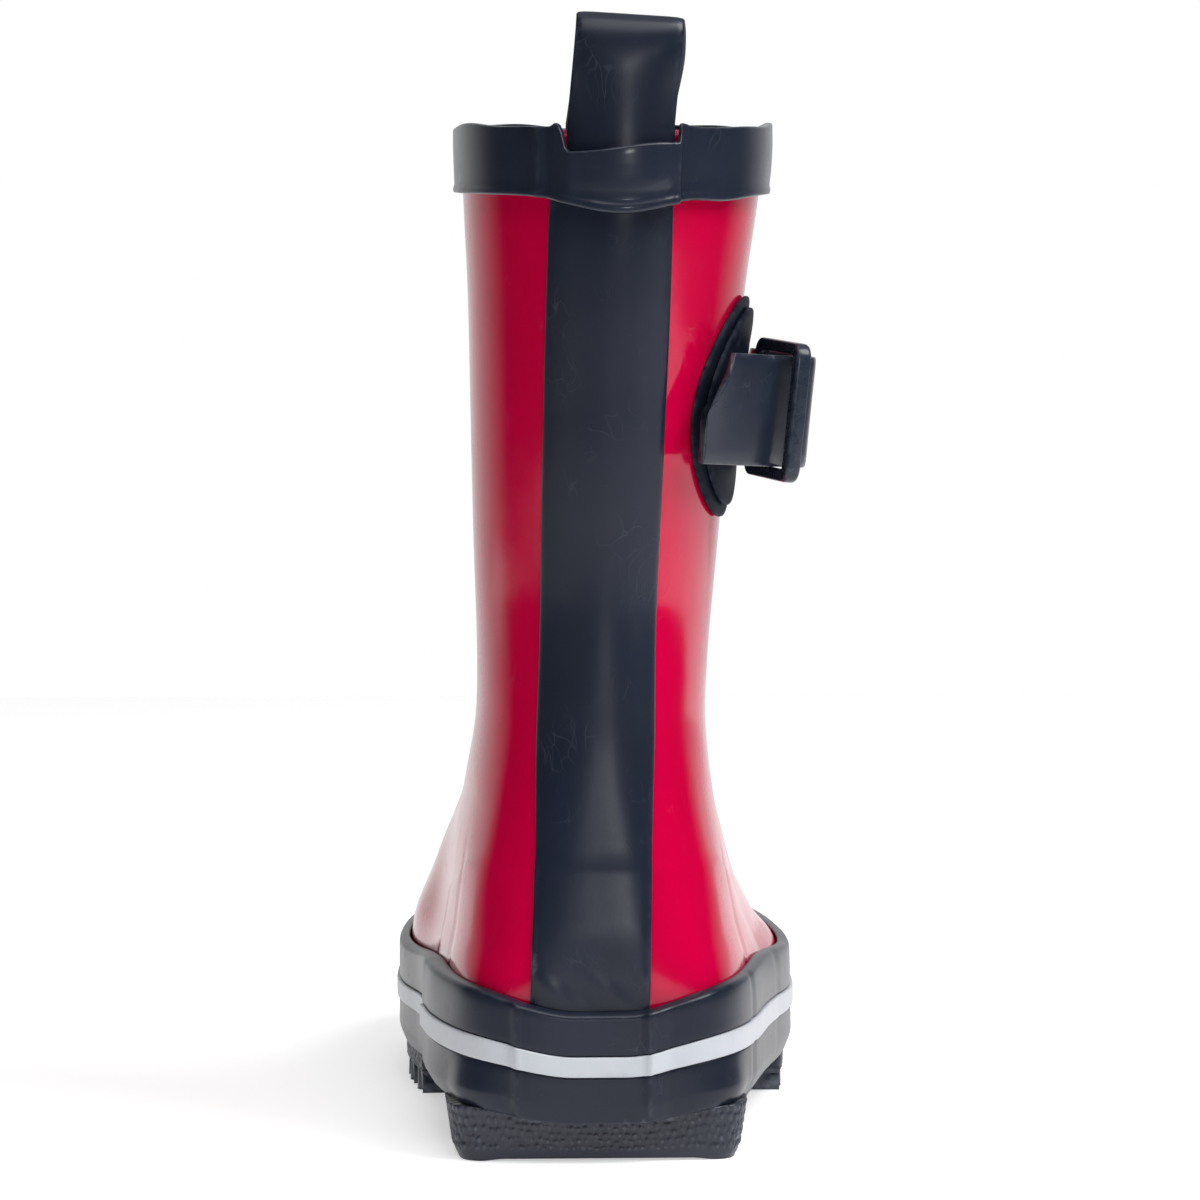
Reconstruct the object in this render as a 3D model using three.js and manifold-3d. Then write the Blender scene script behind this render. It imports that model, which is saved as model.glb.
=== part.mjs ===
// Child's rubber rain boot, right foot: moulded shell, knit lining, sole stack, foxing band,
// rim binding with a pull loop, and a side strap with its buckle.
// Millimetres. +X is the outer side, +Y the toe, +Z up. The sole stands on Z = 0.
import * as THREE from 'three';
import Module from 'manifold-3d';

const wasm = await Module();
wasm.setup();

// ---- driving dimensions -------------------------------------------------------------------
const around = 36; // points round each horizontal slice
const gap = 0.3; // clearance between neighbouring pieces
const rimHeight = 208;
const rubber = 2; // shell wall
const liningThick = 0.8;
const stiffener = 0.9; // heel counter and toe cap
const rimHalf = 31.3; // half width of the rim

// Shape of the shell's outer surface, as height against distance.
const backLine = [[8, 3], [31, 3], [45, 2.8], [60, 4.2], [90, 8.2], [110, 8.6], [150, 5], [208, 0.5]];
const frontLine = [[8, 202], [26, 203], [36, 200], [44, 194], [52, 182], [60, 163], [70, 139],
  [82, 118], [96, 107], [115, 102], [150, 101], [208, 104]];
const heelHalf = [[8, 31], [31, 31], [44, 29.2], [57, 27.8], [71, 25.6], [90, 24], [126, 25.7],
  [153, 27.3], [175, 28.8], [208, rimHalf]];
const ballHalf = [[8, 41.6], [30, 41.6], [38, 38.2], [47, 34.2], [57, 31], [71, 27], [90, 24], [126, 25.7],
  [153, 27.3], [175, 28.8], [208, rimHalf]];
const ballShift = [[8, 3.6], [30, 3.4], [38, 1.2], [57, 0.3], [208, 0]];
const shaftShift = [[8, 0], [71, 0], [90, 0.5], [126, 1.5], [153, 2.5], [175, 3.5], [208, 4.8]];
const heelSquare = [[8, 2.2], [31, 2.1], [60, 1.6], [90, 1.15], [115, 1], [208, 1]]; // 1 is an ellipse
const toeSquare = [[8, 1.4], [31, 1.35], [60, 1.1], [90, 1], [208, 1]];
const widenInner = [38, 122]; // distances between which the foot widens to the ball
const widenOuter = [-10, 130];
const waistY = 88; // arch of the foot
const waistNip = 2.4;

// Sole stack, from the ground up.
const blockTop = 8;
const plateBottom = 8.3;
const plateTop = 11.3;
const fillerTop = 16;
const boardTop = 18;
const liningFloor = 18.3;
const footbedThick = 3.6;
const foxingBottom = 8.4;
const foxingTop = 31.2;
const foxingRise = 4.4; // how much higher the band is beside the heel
const foxingThick = 3;
const stripeBottom = 18.1;
const stripeTop = 22.4;

// Rim and pull loop.
const bindingBottom = 195.8;
const bindingThick = 1.5;
const tentHigh = 2.5;
const tentDip = 3.3; // where it covers the pull loop the binding reaches this much lower
const lipDrop = 4.2; // and its upper edge opens this much below the rim
const stripHalf = 12;
const loopHalf = 10.8;
const loopThick = 1.7;
const loopRise = 21;

// Side strap. The patch centre is given along the boot and up.
const patchY = 37.5;
const patchZ = 151.8;
const patchRadius = 22.8;
const overlayRadius = 20.4;
const patchThick = 0.9;
const strapHalf = 11.4;
const strapThick = 1.6;
const holderHalf = 8.5;
const frameLean = THREE.MathUtils.degToRad(5.7);

// ---- small maths --------------------------------------------------------------------------
const clamp = (value, low, high) => Math.min(high, Math.max(low, value));

function smoothstep(low, high, value) {
  const t = clamp((value - low) / (high - low), 0, 1);
  return t * t * (3 - 2 * t);
}

function bell(centre, spread, value) {
  return Math.exp(-(((value - centre) / spread) ** 2));
}

// Smooth curve through [height, distance] stations that never overshoots them.
function along(stations, height) {
  const last = stations.length - 1;
  const z = clamp(height, stations[0][0], stations[last][0]);
  let i = 0;
  while (i < last - 1 && z > stations[i + 1][0]) i += 1;
  const step = (k) => (stations[k + 1][1] - stations[k][1]) / (stations[k + 1][0] - stations[k][0]);
  const tangent = (k) => {
    if (k === 0 || k === last) return 0;
    const before = step(k - 1);
    const after = step(k);
    return before * after > 0 ? (2 * before * after) / (before + after) : 0;
  };
  const span = stations[i + 1][0] - stations[i][0];
  const t = (z - stations[i][0]) / span;
  const rise = t * t * (3 - 2 * t);
  const leave = t * (1 - t) * (1 - t) * span * tangent(i);
  const arrive = t * t * (t - 1) * span * tangent(i + 1);
  return stations[i][1] + rise * (stations[i + 1][1] - stations[i][1]) + leave + arrive;
}

// ---- the shell surface --------------------------------------------------------------------
// turn runs from 0 at the back of the heel, through the outer side, to PI at the toe and back.
function lengthwise(height, turn) {
  const back = along(backLine, height);
  const front = along(frontLine, height);
  const fromHeel = ((1 - Math.cos(turn)) / 2) ** along(heelSquare, height);
  const fromToe = ((1 + Math.cos(turn)) / 2) ** along(toeSquare, height);
  return back + ((front - back) * fromHeel) / (fromHeel + fromToe);
}

function shellPoint(height, turn) {
  const y = lengthwise(height, turn);
  const side = Math.sin(turn);
  const toBall = smoothstep(...widenInner, y);
  const widening = side < 0 ? toBall : smoothstep(...widenOuter, y);
  const heel = along(heelHalf, height);
  const ball = along(ballHalf, height);
  const low = 1 - smoothstep(30, 80, height);
  const half = heel + (ball - heel) * widening;
  const nip = side < 0 ? waistNip * low * bell(waistY, 26, y) : 0;
  const shift = along(shaftShift, height) + along(ballShift, height) * toBall;
  return new THREE.Vector3(shift + (half - nip) * side, y, height);
}

function shellNormal(height, turn) {
  const alongTurn = shellPoint(height, turn + 0.05).sub(shellPoint(height, turn - 0.05));
  const upward = shellPoint(height + 1, turn).sub(shellPoint(height - 1, turn));
  return alongTurn.cross(upward).normalize();
}

// Point off the shell's outer surface: outward when lift is positive.
function offShell(height, turn, lift) {
  return shellPoint(height, turn).addScaledVector(shellNormal(height, turn), lift);
}

// Turn between two limits at which a rising measure passes zero.
function solveTurn(from, to, measure) {
  let low = from;
  let high = to;
  for (let i = 0; i < 30; i += 1) {
    const middle = (low + high) / 2;
    if (measure(middle) < 0) low = middle;
    else high = middle;
  }
  return (low + high) / 2;
}

// Outer side of the shell at a place given along the boot and up.
function sideSurface(y, z) {
  return shellPoint(z, solveTurn(0, Math.PI, (turn) => lengthwise(z, turn) - y)).x;
}

const turns = Array.from({ length: around }, (unused, i) => ((i + 0.5) * 2 * Math.PI) / around);

function shellRing(height, lift) {
  return turns.map((turn) => offShell(height, turn, lift));
}

// A ring at a given true height, for the flat sole layers.
function flatRing(height, lift, guide = 12) {
  return turns.map((turn) => {
    const point = offShell(guide, turn, lift);
    point.z = height;
    return point;
  });
}

// ---- solids from rings --------------------------------------------------------------------
function toGeometry(points, faces) {
  const geometry = new THREE.BufferGeometry();
  const positions = new Float32Array(points.flatMap((point) => [point.x, point.y, point.z]));
  geometry.setAttribute('position', new THREE.BufferAttribute(positions, 3));
  geometry.setIndex(faces.flat());
  geometry.computeVertexNormals();
  return geometry;
}

// Skin over rings with the same number of points. ends: 'cap' closes both ends, 'loop' joins them.
// hub is the plan point that the end faces fan from, where it isn't the middle of the ring.
function skin(rings, ends, hub = null) {
  const count = rings[0].length;
  const points = rings.flat();
  const faces = [];
  const strips = ends === 'loop' ? rings.length : rings.length - 1;
  for (let r = 0; r < strips; r += 1) {
    const next = (r + 1) % rings.length;
    for (let i = 0; i < count; i += 1) {
      const j = (i + 1) % count;
      faces.push([r * count + i, r * count + j, next * count + j]);
      faces.push([r * count + i, next * count + j, next * count + i]);
    }
  }
  if (ends === 'cap') {
    const closeEnd = (ring, flip) => {
      const centre = points.length;
      const middle = new THREE.Vector3();
      rings[ring].forEach((point) => middle.addScaledVector(point, 1 / count));
      if (hub) middle.set(hub.x, hub.y, middle.z);
      points.push(middle);
      for (let i = 0; i < count; i += 1) {
        const a = ring * count + i;
        const b = ring * count + ((i + 1) % count);
        faces.push(flip ? [centre, b, a] : [centre, a, b]);
      }
    };
    closeEnd(0, true);
    closeEnd(rings.length - 1, false);
  }
  return toGeometry(points, faces);
}

// Sheet of given grid points, front[r][c] and back[r][c], closed round its edge.
function panel(front, back) {
  const rows = front.length;
  const columns = front[0].length;
  const rings = [];
  for (let r = 0; r < rows; r += 1) rings.push([...front[r], ...back[r].slice().reverse()]);
  const count = 2 * columns;
  const points = rings.flat();
  const faces = [];
  for (let r = 0; r < rows - 1; r += 1) {
    for (let i = 0; i < count; i += 1) {
      const j = (i + 1) % count;
      faces.push([r * count + i, r * count + j, (r + 1) * count + j]);
      faces.push([r * count + i, (r + 1) * count + j, (r + 1) * count + i]);
    }
  }
  for (const [row, flip] of [[0, true], [rows - 1, false]]) {
    for (let c = 0; c < columns - 1; c += 1) {
      const a = row * count + c;
      const b = a + 1;
      const d = row * count + count - 1 - c;
      const e = d - 1;
      faces.push(flip ? [a, e, b] : [a, b, e]);
      faces.push(flip ? [a, d, e] : [a, e, d]);
    }
  }
  return toGeometry(points, faces);
}

function outward(geometry) {
  const position = geometry.getAttribute('position');
  const index = geometry.getIndex().array;
  const a = new THREE.Vector3();
  const b = new THREE.Vector3();
  const c = new THREE.Vector3();
  let volume = 0;
  for (let i = 0; i < index.length; i += 3) {
    a.fromBufferAttribute(position, index[i]);
    b.fromBufferAttribute(position, index[i + 1]);
    c.fromBufferAttribute(position, index[i + 2]);
    volume += a.dot(b.cross(c));
  }
  if (volume < 0) {
    for (let i = 0; i < index.length; i += 3) [index[i], index[i + 1]] = [index[i + 1], index[i]];
    geometry.computeVertexNormals();
  }
  return geometry;
}

function toSolid(geometry) {
  const position = geometry.getAttribute('position');
  const index = geometry.getIndex().array;
  return new wasm.Manifold(new wasm.Mesh({
    numProp: 3,
    vertProperties: new Float32Array(position.array),
    triVerts: new Uint32Array(index),
  }));
}

function fromSolid(solid) {
  const mesh = solid.getMesh();
  const geometry = new THREE.BufferGeometry();
  geometry.setAttribute('position', new THREE.BufferAttribute(new Float32Array(mesh.vertProperties), 3));
  geometry.setIndex(new THREE.BufferAttribute(new Uint32Array(mesh.triVerts), 1));
  geometry.computeVertexNormals();
  return geometry;
}

function boxSolid(low, high) {
  const corner = (x, y, z) => new THREE.Vector3(x, y, z);
  const ring = (z) => [
    corner(low[0], low[1], z),
    corner(high[0], low[1], z),
    corner(high[0], high[1], z),
    corner(low[0], high[1], z),
  ];
  return toSolid(outward(skin([ring(low[2]), ring(high[2])], 'cap')));
}

// ---- materials ----------------------------------------------------------------------------
function material(name, color, roughness) {
  const made = new THREE.MeshStandardMaterial({ color, roughness, metalness: 0, side: THREE.FrontSide });
  made.name = name;
  return made;
}

const redRubber = material('red_rubber', 0xc3083c, 0.22);
const navyRubber = material('navy_rubber', 0x2b3442, 0.42);
const navyMoulded = material('navy_moulded', 0x272f3f, 0.3);
const paleRubber = material('pale_rubber', 0xcfd4dc, 0.4);
const redKnit = material('red_knit', 0xa31238, 0.95);
const feltBoard = material('felt_board', 0x8f7f68, 0.95);
const spongeRubber = material('sponge_rubber', 0x5a5d63, 0.9);
const stiffFabric = material('stiff_fabric', 0xd8cfbd, 0.9);

const boot = new THREE.Group();
boot.name = 'rain_boot';

function place(name, geometry, surface, parent = boot) {
  const mesh = new THREE.Mesh(outward(geometry), surface);
  mesh.name = name;
  parent.add(mesh);
  return mesh;
}

// ---- shell, lining and stiffeners ---------------------------------------------------------
const wallHeights = [24, 31, 38, 44, 50, 56, 62, 69, 77, 88, 102, 120, 142, 166, 188];

function upperShell() {
  const heights = [plateTop + gap, ...wallHeights, rimHeight];
  const outer = heights.map((z) => shellRing(z, 0));
  const inner = heights.map((z) => shellRing(z, -rubber)).reverse();
  return skin([...outer, ...inner], 'loop');
}

// The lining stands off the shell in the foot, where the stiffeners lie between them.
function liningLift(height) {
  return -rubber - gap - (stiffener + 2.4 * gap) * (1 - smoothstep(66, 84, height));
}

function lining() {
  const heights = [...wallHeights, rimHeight + 0.8];
  const outer = heights.map((z) => shellRing(z, liningLift(z)));
  const inner = heights.map((z) => shellRing(z, liningLift(z) - liningThick)).reverse();
  const sole = flatRing(liningFloor, liningLift(0) - 0.1);
  const floor = flatRing(liningFloor + liningThick, liningLift(0) - liningThick - 0.1);
  return skin([sole, ...outer, ...inner, floor], 'cap');
}

// Layer between shell and lining over the slices' own turns, from the sole up to topAt(turn).
function stiffenerPanel(fromStep, toStep, topAt) {
  const foot = fillerTop + 3;
  const shares = [0, 0.17, 0.34, 0.5, 0.64, 0.76, 0.88, 1];
  const steps = Array.from({ length: toStep - fromStep + 1 }, (unused, i) => fromStep + i);
  const sheet = (lift) => shares.map((share) => steps.map((step) => {
    const turn = ((step + 0.5) * 2 * Math.PI) / around;
    return offShell(foot + share * (topAt(turn) - foot), turn, lift);
  }));
  return panel(sheet(-rubber - 1.8 * gap), sheet(-rubber - 1.8 * gap - stiffener));
}

function heelCounter() {
  return stiffenerPanel(-9, 8, (turn) => 61 - 18 * smoothstep(1, 1.8, Math.abs(turn)));
}

function toeCap() {
  const middle = around / 2;
  return stiffenerPanel(middle - 6, middle + 5, (turn) => 49 - 5 * smoothstep(0.5, 1.2, Math.abs(turn - Math.PI)));
}

// ---- sole stack ---------------------------------------------------------------------------
function soleLayer(bottom, top, lift) {
  return skin([flatRing(bottom, lift), flatRing(top, lift)], 'cap');
}

function footbed() {
  const bottom = liningFloor + liningThick + gap;
  const lift = liningLift(0) - liningThick - 0.6;
  const rings = [
    flatRing(bottom, lift),
    flatRing(bottom + footbedThick * 0.7, lift),
    flatRing(bottom + footbedThick, lift - 1.2),
  ];
  return skin(rings, 'cap');
}

const treadFrom = 90; // where the forefoot tread starts
const treadRows = 8;
const treadPitch = 13.4;
const lugDepth = 4.2;

// Plate under the whole foot with a forefoot pad and rows of split lugs below it.
function outsole() {
  const plate = toSolid(outward(soleLayer(plateBottom, plateTop, 0)));
  const padOutline = toSolid(outward(skin([flatRing(0, -3.4), flatRing(5, -2.2), flatRing(9, -2.2)], 'cap')));
  const pad = boxSolid([-60, treadFrom, lugDepth], [60, 220, 9]);
  let tread = pad;
  for (let row = 0; row < treadRows; row += 1) {
    const y = treadFrom + 2 + row * treadPitch;
    const split = row % 2 === 0 ? 0 : 9;
    tread = tread.add(boxSolid([-60, y, 0], [split - 2, y + treadPitch * 0.62, 6]));
    tread = tread.add(boxSolid([split + 2, y + 1.5, 0], [60, y + 1.5 + treadPitch * 0.62, 6]));
  }
  return fromSolid(plate.add(tread.intersect(padOutline)));
}

const heelFront = 64;
const heelBack = 3.7;
const blockHalf = 30.6;
const blockDraft = 1.7; // the block narrows this much to the ground
const blockSquare = 7; // 2 is an ellipse

// Slice of the heel block: a squared oval whose front part is cut away.
function blockRing(height, inset) {
  const depth = heelFront / 2 - inset;
  const squared = (value) => Math.sign(value) * Math.abs(value) ** (2 / blockSquare);
  return turns.map((turn) => new THREE.Vector3(
    (blockHalf - inset) * squared(Math.sin(turn)),
    heelBack + heelFront / 2 - depth * squared(Math.cos(turn)),
    height,
  ));
}

function heelBlock() {
  const block = toSolid(outward(skin([
    blockRing(0, blockDraft),
    blockRing(1.2, blockDraft * 0.4),
    blockRing(blockTop, 0),
  ], 'cap')));
  return fromSolid(block.intersect(boxSolid([-60, -10, -1], [60, heelFront, 20])));
}

// The foxing band climbs a little from the back of the heel to its sides, and again at the toe.
function bandRise(turn, height) {
  const point = shellPoint(20, turn);
  const heelSide = smoothstep(5, 27, Math.abs(point.x)) * (1 - smoothstep(40, 110, point.y));
  const toe = smoothstep(165, 203, point.y) * smoothstep(stripeTop, foxingTop, height);
  return heelSide * foxingRise * (0.6 + 0.4 * smoothstep(8, foxingTop, height)) + 3 * toe;
}

// The strip and the foxing lie over one another at the heel: the band bulges where they do.
function stripBulge(turn) {
  const x = shellPoint(20, turn).x;
  const y = shellPoint(20, turn).y;
  return y < 60 ? 1.4 * (1 - smoothstep(stripHalf + 3, stripHalf + 8, Math.abs(x + 1.6))) : 0;
}

function foxing() {
  const profile = [
    [1.5 * gap, 8.4], [1.8, 8.4], [foxingThick, 11.4], [foxingThick, stripeBottom], [2, stripeBottom],
    [2, stripeTop], [foxingThick, stripeTop], [foxingThick, foxingTop - 1.4],
    [2.2, foxingTop - 0.3], [1.5 * gap, foxingTop], [1.5 * gap, 27.5], [1.5 * gap, 24], [1.5 * gap, 18],
  ];
  const rings = profile.map(([lift, height]) => turns.map((turn) => {
    const z = height + bandRise(turn, height);
    return offShell(z, turn, lift + stripBulge(turn));
  }));
  return skin(rings, 'loop');
}

function foxingStripe() {
  const inside = 2 + gap;
  const outside = foxingThick + 0.5;
  const profile = [
    [inside, stripeBottom + gap], [outside, stripeBottom + gap],
    [outside, stripeTop - gap], [inside, stripeTop - gap],
  ];
  const rings = profile.map(([lift, height]) => turns.map((turn) => (
    offShell(height + bandRise(turn, height), turn, lift + stripBulge(turn)))));
  return skin(rings, 'loop');
}

// ---- back strip, binding and pull loop ----------------------------------------------------
// Turn at which the back of the shell has a given x.
function backTurn(height, x) {
  return solveTurn(-1.2, 1.2, (turn) => shellPoint(height, turn).x - x);
}

// Centre of the back strip, which leans a little to the outer side as it rises.
function stripCentre(height) {
  return -1.9 + (4.4 * (height - 30)) / 165;
}

// Sheet on the back of the shell, widths and heights in millimetres.
function backSheet(heights, half, inner, outer, columns = 6) {
  const layer = (lift) => heights.map((z) => Array.from({ length: columns + 1 }, (unused, i) => {
    const x = stripCentre(z) + half * ((2 * i) / columns - 1);
    return offShell(z, backTurn(z, x), lift);
  }));
  return panel(layer(inner), layer(outer));
}

function backStrip() {
  return backSheet([13, 24, 31, 38, 50, 62, 77, 88, 102, 120, 142, 166, 191], stripHalf, 1.5 * gap, 1.4);
}

// The binding tents over the end of the pull loop: 1 on the tent, 0 elsewhere.
function onTent(turn) {
  const point = shellPoint(200, turn);
  return point.y < 40 ? 1 - smoothstep(13.4, 17.5, Math.abs(point.x - loopX)) : 0;
}

function topBinding() {
  const profile = [
    [gap, bindingBottom], [1.9, bindingBottom], [gap + bindingThick + 0.6, bindingBottom + 2],
    [gap + bindingThick, 204.5], [gap + bindingThick, 208.4], [gap + bindingThick - 0.6, 209.6],
    [gap + 0.3, 209.6], [gap, 208.6],
  ];
  const rings = profile.map(([lift, z]) => turns.map((turn) => {
    const tent = onTent(turn);
    const dip = tentDip * (1 - smoothstep(bindingBottom, bindingBottom + 6, z));
    const height = z - tent * (dip + lipDrop * smoothstep(bindingBottom + 4, rimHeight, z));
    return offShell(Math.min(height, rimHeight - 0.5), turn, lift + tentHigh * tent).setZ(height);
  }));
  return skin(rings, 'loop');
}

// Pull loop: the outer end lies under the binding, the inner end inside the lining.
const loopX = 4.3;
const loopBase = rimHeight + 2; // just above the binding
const outerLegLift = 1.2;
const innerLegDepth = rubber + liningThick + 6 * gap + loopThick / 2;

// How far the rim has curved forward, at a distance across from the loop's centre line.
function rimCurve(across) {
  return shellPoint(rimHeight, backTurn(rimHeight, loopX + across)).y - shellPoint(rimHeight, 0.01).y;
}

// Band along a path of (y, z) points. It follows the rim's curve at its foot and flattens above.
function loopBand(path, lean) {
  const side = (sign) => path.map((point, i) => {
    const before = path[Math.max(i - 1, 0)];
    const after = path[Math.min(i + 1, path.length - 1)];
    const normal = new THREE.Vector2(after.y - before.y, before.x - after.x).normalize();
    const above = Math.max(0, point.y - loopBase);
    const follow = 1 - 0.8 * smoothstep(0, loopRise, above);
    return [-1, -0.5, 0, 0.5, 1].map((share) => {
      const across = share * loopHalf;
      return new THREE.Vector3(
        loopX + across + lean * above,
        point.x + (normal.x * sign * loopThick) / 2 + follow * rimCurve(across),
        point.y + (normal.y * sign * loopThick) / 2 - 0.003 * across * above,
      );
    });
  });
  return panel(side(1), side(-1));
}

const rimBackY = shellPoint(rimHeight, 0.01).y;
const outerLegY = rimBackY - outerLegLift;
const innerLegY = rimBackY + innerLegDepth;

function pullLoop() {
  const middle = (outerLegY + innerLegY) / 2;
  const reach = (innerLegY - outerLegY) / 2;
  const steps = 12;
  const path = Array.from({ length: steps + 1 }, (unused, i) => {
    const angle = (Math.PI * i) / steps;
    const bulge = 1 + 0.35 * Math.sin(angle);
    const rise = loopRise * Math.sin(angle) ** 0.6;
    return new THREE.Vector2(middle - reach * bulge * Math.cos(angle), loopBase + rise);
  });
  return loopBand(path, 0.09);
}

function outerLeg() {
  return loopBand([195.5, 202, loopBase - gap].map((z) => new THREE.Vector2(outerLegY, z)), 0);
}

function innerLeg() {
  const path = [190, 199, loopBase - gap].map((z) => {
    const back = shellPoint(Math.min(z, rimHeight), 0.01).y;
    return new THREE.Vector2(back + innerLegDepth, z);
  });
  return loopBand(path, 0);
}

// ---- side strap and buckle ----------------------------------------------------------------
function patch(radius, lower, upper, edge) {
  const ringCount = 4;
  const points = 24;
  const spot = (share, angle, lift) => {
    const y = patchY + radius * share * Math.cos(angle);
    const z = patchZ + radius * share * Math.sin(angle);
    return new THREE.Vector3(sideSurface(y, z) + lift, y, z);
  };
  const circle = (share, lift) => Array.from({ length: points }, (unused, i) => (
    spot(share, (2 * Math.PI * i) / points, lift)));
  const rings = [];
  for (let r = 1; r <= ringCount; r += 1) rings.push(circle((r / ringCount) * 0.999, lower));
  rings.push(circle(1, upper - edge));
  rings.push(circle(1 - edge / radius, upper));
  for (let r = ringCount - 1; r >= 1; r -= 1) rings.push(circle(r / ringCount, upper));
  return skin(rings, 'cap');
}

function patchBase() {
  return patch(patchRadius, 0.4, 0.4 + patchThick, 0.4);
}

function patchOverlay() {
  return patch(overlayRadius, 0.65 + patchThick, 0.65 + 2 * patchThick, 0.4);
}

// Everything on the strap is drawn in plan and leans outward with the side of the shaft.
const strapGroup = new THREE.Group();
strapGroup.position.set(33, 37, patchZ);
strapGroup.rotation.y = frameLean;

const inPlan = (x, y) => new THREE.Vector2(x - 33, y - 37);
const innerBar = inPlan(34.4, 43.2);
const outerBar = inPlan(41, 22.6);

// Ribbon standing on edge along a plan path, with a height range that may change along it.
function ribbon(path, thick, lowAt, highAt) {
  const side = (sign) => path.map((point, i) => {
    const before = path[Math.max(i - 1, 0)];
    const after = path[Math.min(i + 1, path.length - 1)];
    const normal = new THREE.Vector2(after.y - before.y, before.x - after.x).normalize();
    const x = point.x + (normal.x * sign * thick) / 2;
    const y = point.y + (normal.y * sign * thick) / 2;
    const share = i / (path.length - 1);
    return [0, 0.5, 1].map((up) => new THREE.Vector3(x, y, lowAt(share) + up * (highAt(share) - lowAt(share))));
  });
  return panel(side(1), side(-1));
}

function curveThrough(points, steps) {
  const curve = new THREE.CatmullRomCurve3(points.map((p) => new THREE.Vector3(p.x, p.y, 0)));
  return Array.from({ length: steps + 1 }, (unused, i) => {
    const point = curve.getPoint(i / steps);
    return new THREE.Vector2(point.x, point.y);
  });
}

const slideFrom = inPlan(38.9, 27.2);

function strapLoop() {
  const path = curveThrough([
    inPlan(33.6, 58.5), inPlan(34.4, 55), inPlan(39.4, 47.4), inPlan(43.9, 39.5), inPlan(44, 33.5),
    inPlan(41.6, 29.8), slideFrom.clone().add(new THREE.Vector2(0.3, 0.34)),
  ], 16);
  return ribbon(path, strapThick, () => -strapHalf, () => strapHalf);
}

function strapTail() {
  const path = curveThrough([
    slideFrom, inPlan(35.4, 22.4), inPlan(28.6, 15.2), inPlan(25.4, 11.8), inPlan(21.6, 7.6),
  ], 10);
  return ribbon(path, strapThick, () => -strapHalf, (share) => strapHalf - 10.5 * smoothstep(0.78, 1, share));
}

const frameHigh = 14.3;
const frameBar = 2.5;
const barWide = 4;
const frameThick = 2.2;

// Rectangular ring of the buckle, centred on its inner bar's hinge line.
function buckleFrame() {
  const length = innerBar.distanceTo(outerBar);
  const ring = (halfHigh, from, to, corner) => {
    const shape = [];
    const spots = [[to - corner, halfHigh - corner, 0], [from + corner, halfHigh - corner, 1],
      [from + corner, -halfHigh + corner, 2], [to - corner, -halfHigh + corner, 3]];
    spots.forEach(([u, v, quarter]) => {
      for (let k = 0; k <= 3; k += 1) {
        const angle = ((quarter + k / 3) * Math.PI) / 2;
        shape.push([u + corner * Math.cos(angle), v + corner * Math.sin(angle)]);
      }
    });
    return shape;
  };
  const outside = ring(frameHigh, -1.6, length + 2, 3.2);
  const inside = ring(frameHigh - frameBar, 1.6, length + 2 - barWide, 1.2);
  const layer = (shape, depth) => shape.map(([u, v]) => new THREE.Vector3(depth, -u, v));
  const half = frameThick / 2;
  return skin([
    layer(outside, -half), layer(outside, half), layer(inside, half), layer(inside, -half),
  ], 'loop');
}

// Holder: a pad on the patch with a lip that hooks over the buckle's inner bar.
function buckleHolder() {
  const outline = [[33.1, 45.8], [33.1, 51], [34.6, 51], [37.4, 47.4], [37.6, 41.9], [36.7, 41.4], [36.6, 45.8]];
  const shape = outline.map(([x, y]) => inPlan(x, y));
  const layer = (z) => shape.map((p) => new THREE.Vector3(p.x, p.y, z));
  return skin([layer(-holderHalf), layer(holderHalf)], 'cap', inPlan(36.95, 46.6));
}

// ---- assembly -----------------------------------------------------------------------------
place('upper_shell', upperShell(), redRubber);
place('lining', lining(), redKnit);
place('heel_counter', heelCounter(), stiffFabric);
place('toe_cap', toeCap(), stiffFabric);
place('insole_board', soleLayer(fillerTop + gap, boardTop, -rubber - 0.6), feltBoard);
place('footbed', footbed(), redKnit);
place('sole_filler', soleLayer(plateTop + gap, fillerTop, -rubber - 0.6), spongeRubber);
place('outsole', outsole(), navyRubber);
place('heel_block', heelBlock(), navyRubber);
place('foxing', foxing(), navyRubber);
place('foxing_stripe', foxingStripe(), paleRubber);
place('back_strip', backStrip(), navyRubber);
place('top_binding', topBinding(), navyRubber);
place('pull_loop', pullLoop(), navyRubber);
place('loop_outer_end', outerLeg(), navyRubber);
place('loop_inner_end', innerLeg(), navyRubber);
place('patch_base', patchBase(), navyRubber);
place('patch_overlay', patchOverlay(), navyRubber);
boot.add(strapGroup);
const swing = new THREE.Group();
swing.position.set(innerBar.x, innerBar.y, 0);
swing.rotation.z = Math.atan2(outerBar.x - innerBar.x, innerBar.y - outerBar.y);
strapGroup.add(swing);
place('buckle_frame', buckleFrame(), navyMoulded, swing);
place('buckle_holder', buckleHolder(), navyRubber, strapGroup);
place('strap', strapLoop(), navyRubber, strapGroup);
place('strap_tail', strapTail(), navyRubber, strapGroup);

// The origin is under the middle of the whole boot.
const bounds = new THREE.Box3().setFromObject(boot);
boot.position.set(-(bounds.min.x + bounds.max.x) / 2, -(bounds.min.y + bounds.max.y) / 2, -bounds.min.z);

export default boot;
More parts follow.
